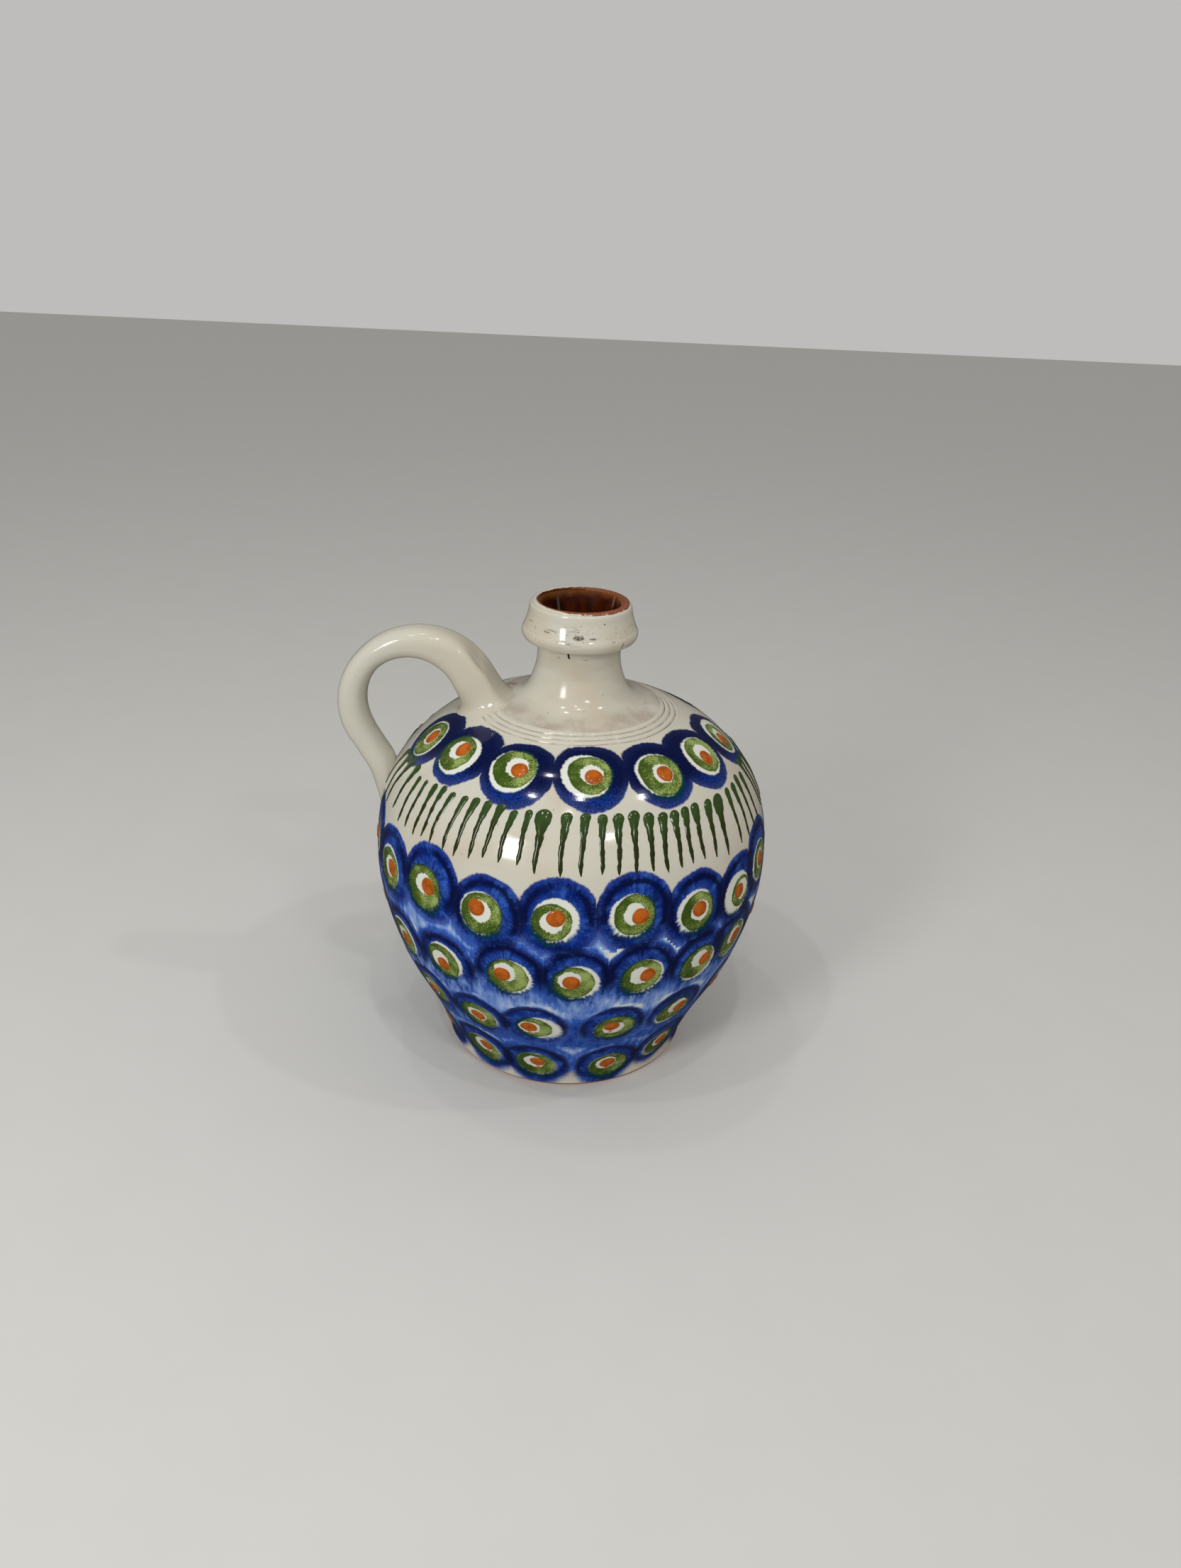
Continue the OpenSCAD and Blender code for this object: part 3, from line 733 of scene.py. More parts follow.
class Finish:
    """A material whose nodes are added by short calls. A call takes sockets or constants, and gives back an
    output socket."""

    def __init__(self, name):
        self.material = bpy.data.materials.new(name)
        self.material.use_nodes = True
        self.tree = self.material.node_tree
        self.shader = self.tree.nodes["Principled BSDF"]
        self.place = self.node("TexCoord").outputs["Object"]

    def put(self, socket, value):
        """Links another node's output to a socket, or sets the socket to a constant."""
        if isinstance(value, bpy.types.NodeSocket):
            self.tree.links.new(value, socket)
        elif socket.type == "RGBA":
            socket.default_value = (*value, 1)
        else:
            socket.default_value = value

    def node(self, kind, inputs=None, **settings):
        """A new node with its settings, and its inputs by name or number."""
        made = self.tree.nodes.new("ShaderNode" + kind)
        for key, value in settings.items():
            setattr(made, key, value)
        for key, value in (inputs or {}).items():
            self.put(made.inputs[key], value)
        return made

    def math(self, operation, a, b=0.0):
        """A number worked out from one or two others."""
        return self.node("Math", {0: a, 1: b}, operation=operation).outputs[0]

    def total(self, start, *pairs):
        """A value plus each other value times its weight."""
        for value, weight in pairs:
            made = self.node("Math", {0: value, 1: weight, 2: start}, operation="MULTIPLY_ADD")
            start = made.outputs[0]
        return start

    def product(self, *values):
        """All the values multiplied."""
        made = values[0]
        for value in values[1:]:
            made = self.math("MULTIPLY", made, value)
        return made

    def vector(self, operation, a, b=(0, 0, 0)):
        """A vector worked out from one or two others."""
        return self.node("VectorMath", {0: a, 1: b}, operation=operation).outputs["Vector"]

    def measure(self, operation, a, b=(0, 0, 0)):
        """A number worked out from one or two vectors."""
        return self.node("VectorMath", {0: a, 1: b}, operation=operation).outputs["Value"]

    def join(self, x, y, z):
        """A vector from three numbers."""
        return self.node("CombineXYZ", {0: x, 1: y, 2: z}).outputs[0]

    def split(self, vector):
        """The three numbers of a vector."""
        return self.node("SeparateXYZ", {0: vector}).outputs[:3]

    def stretched(self, x, y, z):
        """The place with each axis multiplied, for patterns that are longer one way."""
        return self.vector("MULTIPLY", self.place, (x, y, z))

    def ease(self, value, low, high):
        """0 at low and 1 at high, with a soft start and end; low may be above high."""
        inputs = {"Value": value, "From Min": low, "From Max": high}
        return self.node("MapRange", inputs, interpolation_type="SMOOTHSTEP").outputs["Result"]

    def between(self, value, start, full, last, end):
        """1 from full to last, falling softly to 0 at start and at end."""
        return self.product(self.ease(value, start, full), self.ease(value, end, last))

    def noise(self, vector, scale, detail=2.0, roughness=0.5):
        """Noise from 0 to 1."""
        inputs = {"Vector": vector, "Scale": scale, "Detail": detail, "Roughness": roughness}
        return self.node("TexNoise", inputs).outputs["Fac"]

    def uneven(self, vector, scale, detail=2.0, roughness=0.5):
        """Noise about zero, from minus to plus a half."""
        return self.total(-0.5, (self.noise(vector, scale, detail, roughness), 1.0))

    def mix(self, share, a, b):
        """Colour a where the share is 0 and b where it is 1."""
        return self.node("Mix", {0: share, 6: a, 7: b}, data_type="RGBA").outputs[2]

    def ramp(self, value, stops):
        """Colours at places from 0 to 1."""
        made = self.node("ValToRGB", {0: value})
        elements = made.color_ramp.elements
        elements[0].position, elements[-1].position = stops[0][0], stops[-1][0]
        for place, _ in stops[1:-1]:
            elements.new(place)
        for element, (_, shade) in zip(elements, stops):
            element.color = (*shade, 1)
        return made.outputs["Color"]

    def over(self, shade, coat, *shares):
        """A coat laid over a shade, as strongly as all the shares multiplied."""
        return self.mix(self.product(*shares), shade, coat)

    def stored(self, name):
        """Three numbers stored on the mesh."""
        return self.split(self.node("Attribute", attribute_name=name).outputs["Vector"])

    def stored_one(self, name):
        """One number stored on the mesh."""
        return self.node("Attribute", attribute_name=name).outputs["Fac"]

    def radius(self):
        """Distance from the jug's axis, in mm."""
        return self.product(self.measure("LENGTH", self.stretched(1, 1, 0)), 1 / MM)

    def height(self):
        """Height above the table, in mm."""
        return self.product(self.split(self.place)[2], 1 / MM)

    def surface(self, shade, roughness, relief=None, gloss=0.35, depth=0.1 * MM):
        """Ties the colour, the roughness and a relief to the shader."""
        self.put(self.shader.inputs["Base Color"], shade)
        self.put(self.shader.inputs["Roughness"], roughness)
        self.put(self.shader.inputs["Specular IOR Level"], gloss)
        if relief is not None:
            bump = self.node("Bump", {"Strength": 0.5, "Distance": depth, "Height": relief})
            self.put(self.shader.inputs["Normal"], bump.outputs[0])
        return self.material


def cream_ground(finish, paint):
    """Cream glaze: slow changes of tint, faint level lines left by throwing, and rare brown specks.
    Returns its colour, roughness and relief."""
    cloud = finish.noise(finish.place, 38, 3)
    shade = finish.mix(finish.ease(cloud, 0.48, 0.8), paint.cream, paint.warm_cream)
    lines = finish.noise(finish.stretched(0.06, 0.06, 1), 700, 3, 0.6)
    shade = finish.over(shade, paint.warm_cream, finish.ease(lines, 0.55, 0.8), 0.35)
    specks = finish.ease(finish.noise(finish.place, 620, 0), 0.84, 0.87)
    shade = finish.over(shade, paint.groove, specks, 0.4)
    grain = finish.noise(finish.place, 1500, 2)
    roughness = finish.total(0.05, (cloud, 0.06), (grain, 0.04))
    relief = finish.total(finish.product(lines, 0.5), (cloud, 0.6), (grain, 0.12))
    return shade, roughness, relief


def lip_side(finish):
    """1 on the right of the lip's front, where most glaze is worn off, and -1 opposite."""
    way = finish.vector("NORMALIZE", finish.stretched(1, 1, 0))
    return finish.measure("DOT_PRODUCT", way, (np.sqrt(0.5), -np.sqrt(0.5), 0))


def terracotta(finish, paint):
    """Gritty bare clay."""
    grit = finish.noise(finish.place, 900, 4, 0.7)
    return finish.mix(finish.ease(grit, 0.32, 0.6), 0.5 * paint.terracotta, paint.terracotta)


def bare_lip(finish, shape, paint, shade, roughness):
    """Bare terracotta on the lip, between the ragged edges of the cream glaze outside and of the brown glaze
    inside. It is wide on the right and nearly closes on the far left."""
    crest = (shape.lip_r + shape.mouth_r + shape.glaze_t) / 2 / MM
    top = shape.lip_z / MM
    ragged = finish.uneven(finish.place, 700, 3, 0.7)
    side = lip_side(finish)
    reach = finish.total(finish.radius(), (ragged, 1.2), (side, -0.85))
    on_lip = finish.ease(finish.height(), top - 1.5, top - 1.1)
    bare = finish.product(finish.ease(reach, crest + 0.4, crest + 0.2), on_lip)
    clay = finish.mix(finish.ease(side, 1.0, 0.1), terracotta(finish, paint), paint.thin_brown)
    reach = finish.total(finish.radius(), (ragged, 1.0), (side, 0.8))
    glazed = finish.product(bare, finish.ease(reach, crest - 1.4, crest - 1.6))
    clay = finish.mix(glazed, clay, paint.brown)
    roughness = finish.total(roughness, (bare, 0.5), (glazed, -0.5))
    return finish.mix(bare, shade, clay), roughness


def front_at(finish, turn):
    """The way to the right along the wall at a turn in degrees from the front, and a mask that is 1 on that
    half of the jug and 0 on the other."""
    side, depth = np.sin(np.radians(turn)), np.cos(np.radians(turn))
    outward = finish.measure("DOT_PRODUCT", finish.place, (side, -depth, 0))
    return np.array([depth, side, 0]), finish.ease(outward, 0, 5 * MM)


def smudge(finish, turn, height, wide, high):
    """1 on a patch and 0 beside it, with a ragged edge. The turn is in degrees from the front, and the height
    and the patch's half width and half height are in mm."""
    right, facing = front_at(finish, turn)
    across = finish.measure("DOT_PRODUCT", finish.place, right / wide / MM)
    up = finish.total(-height / high, (finish.height(), 1 / high))
    away = finish.measure("LENGTH", finish.join(across, up, 0.0))
    rough = finish.total(away, (finish.uneven(finish.place, 900, 3, 0.7), 1.8))
    return finish.product(finish.ease(rough, 1.15, 0.5), facing)


def hair_crack(finish, turn, low, high, width, lean):
    """1 on a short line down the wall and 0 beside it. The turn is in degrees from the front, the heights of
    its ends and its width are in mm, and the lean is how far it goes to the left for each mm up."""
    right, facing = front_at(finish, turn)
    across = finish.measure("DOT_PRODUCT", finish.place, (right + (0, 0, lean)) / MM)
    waver = finish.uneven(finish.place, 700, 2)
    rough = finish.total(-lean * (low + high) / 2, (across, 1.0), (waver, 0.7))
    line = finish.ease(finish.math("ABSOLUTE", rough), width * 0.8, width * 0.3)
    return finish.product(line, finish.between(finish.height(), low, low + 0.3, high - 0.3, high), facing)


class EyePaint:
    """Paint of the eyes, laid on from the ground up. Each point of the wall knows its way in mm from the
    middle of the nearest ring, u to the right and v up, and noise of that ring's own makes every edge
    uneven."""

    def __init__(self, finish, paint):
        self.finish = finish
        self.paint = paint
        self.height = finish.height()
        self.on_belly = finish.ease(self.height, 101, 99)
        self.u, self.v, ring = finish.stored("eye_at")
        self.dark_r, seed, self.other = finish.stored("eye_set")
        self.low = finish.ease(self.v, -1.0, -8.5)
        self.flat = finish.join(self.u, self.v, 0.0)
        self.own = finish.join(self.u, self.v, finish.product(seed, 23.0))
        away = finish.measure("LENGTH", self.flat)
        way_x, way_y, _ = finish.split(finish.vector("NORMALIZE", self.flat))
        fan = finish.join(
            finish.product(way_x, 9.0),
            finish.product(way_y, 9.0),
            finish.total(finish.product(seed, 11.0), (away, 0.09)),
        )
        self.streak = finish.uneven(fan, 1.0, 3, 0.65)
        self.brush = finish.uneven(finish.stretched(1, 1, 0.1), 420, 3, 0.65)
        self.stipple = finish.noise(self.own, 1.7, 3, 0.7)
        self.speckle = finish.ease(finish.noise(self.own, 4.5, 2, 0.6), 0.44, 0.6)
        self.hand = finish.uneven(self.own, 0.14, 1)
        self.ragged = finish.uneven(self.own, 0.9, 3, 0.6)
        self.waver = finish.total(finish.product(finish.uneven(self.own, 0.3, 2), 1.1), (self.ragged, 0.5))
        self.reach = finish.total(away, (self.hand, 1.6), (self.ragged, 0.5), (self.streak, 0.5))
        self.past = finish.math("SUBTRACT", self.reach, ring)

    def coat(self, ground):
        """All the paint over a ground colour."""
        shade, white = self.white(self.rings(self.wash(ground)))
        return self.inner(self.green(shade, white))

    def outside(self, name, waver):
        """Distance in mm outside a disc whose place and radius are stored on the mesh, plus a waver."""
        x, y, r = self.finish.stored(name)
        away = self.finish.measure("DISTANCE", self.flat, self.finish.join(x, y, 0.0))
        return self.finish.total(self.finish.math("SUBTRACT", away, r), (waver, 1.0))

    def wash(self, shade):
        """Blue wash in the gaps between the belly's rings, with upright streaks and pale patches."""
        finish, paint, height, past = self.finish, self.paint, self.height, self.past
        broad = finish.uneven(finish.place, 75, 2)
        pale_band = finish.between(height, 38, 44, 48, 54)
        gaps = finish.product(finish.ease(height, 62, 66), finish.ease(past, 0.2, 3.0))
        patchy = finish.product(
            finish.ease(finish.noise(finish.place, 110, 1), 0.42, 0.62),
            finish.total(0.3, (finish.ease(height, 56, 62), 0.35)),
        )
        crescent = finish.product(finish.between(past, -0.1, 1.0, 1.0, 3.6), finish.ease(self.v, 3.0, 9.0))
        corner = finish.product(finish.between(height, 13, 17, 20, 25), finish.ease(past, 1.8, 4.6))
        thin = finish.total(
            0.36, (self.brush, 0.8), (broad, 0.8), (pale_band, 0.22), (gaps, 0.36), (crescent, patchy),
            (corner, 0.5)
        )
        blue = finish.ramp(thin, [
            (0.0, paint.ink), (0.18, paint.blue), (0.45, paint.wash), (0.72, paint.pale_wash),
            (1.0, paint.white)
        ])
        above_foot = finish.ease(finish.total(height, (self.ragged, 4.0)), 5.5, 8.5)
        return finish.over(shade, blue, finish.ease(height, 83, 79), above_foot)

    def belly_ring(self, line):
        """Mid blue, feathered towards the white, with a dark line and a soft speckled edge."""
        finish, paint, own, streak = self.finish, self.paint, self.own, self.streak
        feather = finish.ease(finish.total(self.reach, (streak, 5.0)), 9.2, 6.6)
        blue = finish.mix(finish.ease(self.stipple, 0.35, 0.75), paint.ink, paint.blue)
        blue = finish.over(blue, paint.wash, feather, finish.ease(streak, -0.2, 0.2), 0.6)
        load = finish.total(finish.noise(own, 0.2, 3, 0.6), (streak, 0.25))
        blue = finish.over(blue, paint.wash, finish.ease(load, 0.5, 0.66), 0.6)
        blue = finish.over(blue, paint.navy, finish.ease(load, 0.46, 0.32), 0.7)
        weight = finish.ease(finish.total(finish.noise(own, 0.11, 1), (self.low, -0.22)), 0.2, 0.5)
        blue = finish.over(blue, paint.navy, line, weight, 0.95)
        blue = finish.over(blue, paint.violet, finish.ease(self.past, -2.2, 0.0), self.speckle, 0.65)
        return finish.over(blue, paint.violet, finish.ease(self.past, -0.7, 0.5), 0.7)

    def shoulder_ring(self, line):
        """Navy, lighter and stippled on its lower side."""
        finish, paint, low = self.finish, self.paint, self.low
        tone = finish.ease(finish.total(self.stipple, (low, 0.16)), 0.5, 0.78)
        blue = finish.over(paint.navy, paint.blue, tone, finish.total(0.3, (low, 0.7)))
        blue = finish.over(blue, paint.navy, line, 0.6)
        band = finish.ease(self.past, -3.2, -0.6)
        return finish.over(blue, paint.violet, band, finish.total(0.25, (low, 0.75)), self.speckle, 0.7)

    def rings(self, shade):
        """The rings of the belly and of the shoulder. Where two meet they lie over each other, so the joint
        is darker, and on the belly their lower sides run out into the wash."""
        finish, low, ragged = self.finish, self.low, self.ragged
        off_line = finish.math("ABSOLUTE", finish.math("SUBTRACT", self.reach, self.dark_r))
        line = finish.ease(finish.total(off_line, (ragged, 1.6), (self.streak, 1.2)), 1.7, 0.3)
        blue = finish.mix(self.on_belly, self.shoulder_ring(line), self.belly_ring(line))
        joint = finish.ease(finish.total(self.other, (ragged, 2.0), (self.on_belly, -1.0)), 0.6, -1.8)
        blue = finish.over(blue, self.paint.navy, joint, 0.85)
        soft = finish.total(0.35, (finish.product(self.on_belly, low), 2.2))
        edge = finish.ease(finish.total(self.past, (ragged, 0.5)), soft, -0.35)
        middle = finish.between(self.height, 22, 28, 66, 72)
        fade = finish.product(low, middle, finish.ease(self.brush, -0.22, 0.1))
        return finish.over(shade, blue, edge, finish.total(1.0, (fade, -0.85)))

    def white(self, shade):
        """White of the eye, with blue bleeding into its edge. Returns the shade and where the white lies."""
        finish = self.finish
        drip = finish.product(self.on_belly, finish.ease(self.v, 1.0, -5.0))
        faint = finish.product(finish.ease(self.height, 44, 40), finish.ease(self.u, 0.5, 4.5))
        bleed = finish.total(finish.product(self.hand, 0.9), (self.streak, finish.total(1.4, (drip, 2.4))))
        none = finish.total(0.3, (drip, 0.4))
        full = finish.total(-0.4, (drip, -0.5), (faint, -1.0))
        white = finish.ease(self.outside("eye_white", bleed), none, full)
        return finish.mix(white, shade, self.paint.white), white

    def green(self, shade, white):
        """Green disc: dabbed, paler to the right, with a dark rim, and teal where it lies over the blue."""
        finish, paint, own = self.finish, self.paint, self.own
        past = self.outside("eye_green", self.waver)
        rim = finish.ease(past, -1.1, -0.1)
        lowest = finish.ease(self.height, 24, 20)
        dab = finish.total(
            -0.3, (finish.noise(own, 2.4, 3, 0.75), 1.0), (self.u, 0.016), (finish.noise(own, 0.2, 1), 0.6),
            (rim, -0.12), (lowest, -0.1)
        )
        green = finish.ramp(dab, [(0.38, paint.dark_green), (0.5, paint.green), (0.64, paint.pale_green)])
        over_blue = finish.total(0.9, (white, -0.9))
        green = finish.mix(over_blue, green, paint.teal)
        fringe = finish.ease(finish.total(past, (self.streak, 4.0), (self.low, -1.5)), 0.5, -0.3)
        shade = finish.over(shade, paint.teal, fringe, over_blue)
        laid = finish.ease(past, finish.total(0.2, (lowest, 0.5)), finish.total(-0.25, (lowest, -0.7)))
        return finish.mix(laid, shade, green)

    def inner(self, shade):
        """Inner white, and a stain of orange under the dot that runs down on the lower rows."""
        finish, orange = self.finish, self.paint.orange
        past = self.outside("eye_inner", finish.total(self.waver, (self.ragged, 1.3)))
        shade = finish.mix(finish.ease(past, 0.2, -0.2), shade, self.paint.white)
        dot_x, dot_y, _ = finish.stored("eye_dot")
        beside = finish.math("ABSOLUTE", finish.math("SUBTRACT", self.u, dot_x))
        below = finish.math("SUBTRACT", dot_y, self.v)
        run = finish.product(finish.ease(beside, 1.0, 0.2), finish.between(below, 1.0, 2.0, 3.4, 5.6))
        shade = finish.over(shade, orange, run, finish.ease(self.height, 44, 40), 0.75)
        past = self.outside("eye_dot", finish.product(self.ragged, 0.5))
        return finish.mix(finish.ease(past, 0.35, -0.15), shade, orange)


def body_finish(shape, paint):
    """Cream glaze with brown in the grooves, dirt with painted shade in the corner behind the handle, the
    painted rings and bare clay under the foot."""
    finish = Finish("painted_glaze")
    shade, roughness, relief = cream_ground(finish, paint)
    groove = finish.ease(finish.stored_one("cut"), 0.5, 0.9)
    stain = finish.ease(finish.noise(finish.place, 170, 4, 0.65), 0.36, 0.56)
    behind = finish.ease(finish.measure("DOT_PRODUCT", finish.place, (0.8, 0.5, 0)), -5 * MM, 20 * MM)
    shade = finish.over(shade, paint.groove, groove, stain, finish.total(0.6, (behind, 0.4)))
    # Brown patch below the seam behind the handle: dirt and painted shade in the corner between handle and
    # neck
    shade = finish.over(shade, paint.groove, smudge(finish, *DIRT_AND_SHADE_BELOW_SEAM), 0.7)
    shade = EyePaint(finish, paint).coat(shade)
    edge = shape.foot_r / MM
    under = finish.ease(finish.height(), 0.06, 0.02)
    foot = finish.product(under, finish.ease(finish.radius(), edge - 2, edge - 3))
    shade = finish.mix(foot, shade, paint.bare_clay)
    return finish.surface(shade, finish.total(roughness, (foot, 0.6)), relief)


def neck_finish(shape, paint):
    """Cream glaze with a scraped mauve zone round its root, dirt with painted shade in the corner behind the
    handle, a crack under the collar and bare terracotta on the lip."""
    finish = Finish("neck_glaze")
    shade, roughness, relief = cream_ground(finish, paint)
    x, y, z = finish.split(finish.place)
    slant = finish.join(finish.total(x, (z, 1.5)), finish.product(y, 0.25), finish.total(z, (x, -0.8)))
    scratch = finish.noise(slant, 420, 4, 0.7)
    worn = finish.noise(finish.place, 95, 3)
    root = finish.ease(finish.total(finish.radius(), (worn, 5.0)), 21.0, 27.0)
    scraped = finish.product(root, finish.ease(finish.total(worn, (scratch, 0.3)), 0.44, 0.84))
    shade = finish.mix(scraped, shade, paint.mauve)
    shade = finish.over(shade, paint.cream, root, finish.ease(scratch, 0.58, 0.7), 0.6)
    shade = finish.over(shade, paint.groove, root, finish.ease(scratch, 0.36, 0.3), 0.5)
    # Brown patch above the seam behind the handle: dirt and painted shade in the corner between handle and
    # neck
    shade = finish.over(shade, paint.groove, smudge(finish, *DIRT_AND_SHADE_ABOVE_SEAM), 0.7)
    shade = finish.over(shade, paint.smudge, smudge(finish, *NECK_SMUDGE), 0.5)
    shade, roughness = bare_lip(finish, shape, paint, shade, roughness)
    crack = finish.math("MAXIMUM", hair_crack(finish, *NECK_CRACK), smudge(finish, *NECK_CRACK_TOP))
    shade = finish.mix(crack, shade, paint.crack)
    return finish.surface(shade, finish.total(0.04, (roughness, 1.0), (scraped, 0.15)), relief)


def collar_finish(shape, paint):
    """Cream glaze with grey smudges and pepper specks round its widest part, a crack and the bare lip."""
    finish = Finish("collar_glaze")
    shade, roughness, relief = cream_ground(finish, paint)
    level = finish.stretched(1, 1, 3)
    cloud = finish.noise(level, 90, 4, 0.65)
    streak = finish.noise(level, 420, 3, 0.6)
    band = finish.between(finish.height(), 149, 151, 154, 157)
    dirt = finish.product(band, finish.ease(finish.total(cloud, (streak, 0.35)), 0.74, 0.95), 0.6)
    pepper = finish.product(band, finish.ease(finish.noise(finish.place, 1300, 1), 0.68, 0.73), 0.6)
    shade = finish.mix(finish.math("MAXIMUM", dirt, pepper), shade, paint.smudge)
    grain = finish.ease(finish.noise(finish.place, 1500, 3, 0.7), 0.4, 0.62)
    grain = finish.total(0.6, (grain, 0.6))
    for *patch, weight in SMUDGES:
        shade = finish.over(shade, paint.smudge, smudge(finish, *patch), grain, weight)
    shade = finish.mix(hair_crack(finish, *COLLAR_CRACK), shade, paint.crack)
    shade, roughness = bare_lip(finish, shape, paint, shade, roughness)
    return finish.surface(shade, roughness, relief)


def handle_finish(paint):
    """Cream glaze over the pulled handle, warmer on the side towards the neck."""
    finish = Finish("handle_glaze")
    shade, roughness, relief = cream_ground(finish, paint)
    inward = finish.ease(finish.split(finish.place)[0], -62 * MM, -34 * MM)
    shade = finish.over(shade, paint.warm_cream, inward, 0.45)
    return finish.surface(shade, roughness, relief)


def lining_finish(shape, paint):
    """Glossy brown glaze that runs darker and lighter down the wall, thins out towards the lip and is worn
    off at the right of it."""
    finish = Finish("brown_lining")
    runs = finish.noise(finish.stretched(1, 1, 0.3), 260, 3)
    shade = finish.mix(finish.ease(runs, 0.35, 0.65), 0.35 * paint.brown, paint.brown)
    down = finish.total(shape.lip_z / MM, (finish.height(), -1.0))
    thin = finish.ease(finish.total(down, (runs, 5.0)), 5.5, 2.8)
    shade = finish.over(shade, paint.thin_brown, thin, 0.8)
    ragged = finish.noise(finish.place, 420, 3, 0.65)
    bare = finish.ease(finish.total(down, (ragged, 1.6), (lip_side(finish), -1.6)), 1.3, 0.9)
    shade = finish.mix(bare, shade, terracotta(finish, paint))
    roughness = finish.total(0.06, (runs, 0.06), (bare, 0.5))
    return finish.surface(shade, roughness, runs, gloss=0.5, depth=0.004 * MM)


def dot_finish(paint):
    """Orange slip, darker at its rim and a little blotched."""
    finish = Finish("orange_slip")
    dark = 0.6 * paint.orange
    blotch = finish.noise(finish.place, 420, 3)
    shade = finish.mix(finish.ease(blotch, 0.4, 0.7), paint.orange, dark)
    shade = finish.over(shade, dark, finish.ease(finish.stored_one("rim"), 0.7, 1.0), 0.7)
    return finish.surface(shade, finish.total(0.1, (blotch, 0.12)), blotch)


def stroke_finish(paint):
    """Green slip, lighter and darker in blotches, and darker down the tail."""
    finish = Finish("green_slip")
    blotch = finish.noise(finish.place, 380, 3)
    shade = finish.mix(finish.ease(blotch, 0.45, 0.75), paint.stroke, 1.35 * paint.stroke)
    tail = finish.ease(finish.total(finish.stored_one("down"), (blotch, 0.4)), 0.35, 0.75)
    shade = finish.mix(tail, shade, paint.stroke_end)
    return finish.surface(shade, finish.total(0.08, (blotch, 0.12)), blotch)


def finish_piece(piece, material, node):
    """Gives a piece its material, and lets it stand for its node on the jug."""
    piece.data.materials.append(material)
    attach(piece, "root")
    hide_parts(node)


class JUG_OT_body(bpy.types.Operator):
    """Build the thrown body, with its grooves and painted rings"""

    bl_idname = "jug.body"
    bl_label = "Body"
    columns: bpy.props.IntProperty(name="Columns", description="Faces round the body", default=360)

    def execute(self, context):
        shape = context.scene.jug_shape
        wall = Wall(shape)
        fine = wall.seam - FINE_BAND
        below = np.linspace(0, fine, BODY_ROWS)[:-1]
        along = np.concatenate([below, np.linspace(fine, wall.seam, FINE_ROWS)])
        turn = around(self.columns)
        outer = wall.at(along[:, None], turn)
        sole = [(SOLE_SHARE * shape.foot_r, 0), (shape.foot_r - shape.foot_bevel, 0)]
        under = spun(np.array(sole), self.columns)
        inner = spun(inner_body(shape, shape.wall)[:0:-1], self.columns)
        rows = np.concatenate([under, outer, inner])
        painted = slice(len(under), len(under) + len(along))
        weight = np.full(len(rows), HIDDEN_SHARE)
        weight[painted] = 1
        piece = lathe("body_shell", rows, (0, shape.floor_t), weight)
        cut = np.zeros(len(piece.data.vertices))
        cut[painted.start * self.columns:painted.stop * self.columns] = wall.cut(along[:, None], turn).ravel()
        point_values(piece, "cut", cut)
        self.store_eyes(piece, shape, wall, along, painted.start)
        finish_piece(piece, body_finish(shape, context.scene.jug_paint), "body")
        return {"FINISHED"}

    def store_eyes(self, piece, shape, wall, along, first):
        """Finds the eye nearest to each face of the outer wall, and stores at its corners the way from that
        eye: right round the wall at the wall's own radius, and up along the outline. first is the first row
        of the outer wall."""
        table = eyes(shape)
        half = FULL_TURN / self.columns / 2
        turn = around(self.columns) + half
        middle = (along[:-1] + along[1:]) / 2
        right = wall.profile(middle)[0][:, None, None] * wrap(turn[:, None] - table[:, EYE_TURN])
        up = (middle[:, None] - table[:, EYE_ALONG])[:, None]
        order = np.argsort(np.hypot(right, up) / table[:, EYE_RING], axis=2)
        chosen, second = table[order[..., 0]], table[order[..., 1]]
        lower, upper = along[:-1, None], along[1:, None]
        ways, others = [], []
        for run, side in ((lower, -half), (lower, half), (upper, half), (upper, -half)):
            ways.append(self.way(wall, chosen, run, turn, side))
            other = self.way(wall, second, run, turn, side)
            others.append(np.linalg.norm(other, axis=-1) - second[..., EYE_RING])
        numbers = np.repeat(chosen[:, :, None], len(ways), 2)
        stored = {
            "eye_at": np.concatenate([np.stack(ways, 2), numbers[..., [EYE_RING]]], -1),
            "eye_set": np.concatenate([numbers[..., EYE_LINE_SEED], np.stack(others, 2)[..., None]], -1),
            "eye_white": numbers[..., EYE_WHITE],
            "eye_green": numbers[..., EYE_GREEN],
            "eye_inner": numbers[..., EYE_INNER],
            "eye_dot": numbers[..., EYE_DOT],
        }
        begin = first * self.columns * len(ways)
        for name, values in stored.items():
            corners = np.tile(NO_EYE, (len(piece.data.loops), 1))
            corners[begin:begin + values.size // 3] = values.reshape(-1, 3)
            corner_vectors(piece, name, corners)

    def way(self, wall, eye, run, turn, side):
        """Way in mm from each face's eye to one corner of the face, at a distance along the outline and a
        little to the side of the face's middle."""
        right = wall.profile(run)[0] * (wrap(turn - eye[..., EYE_TURN]) + side)
        return np.stack([right, run - eye[..., EYE_ALONG]], -1) / MM


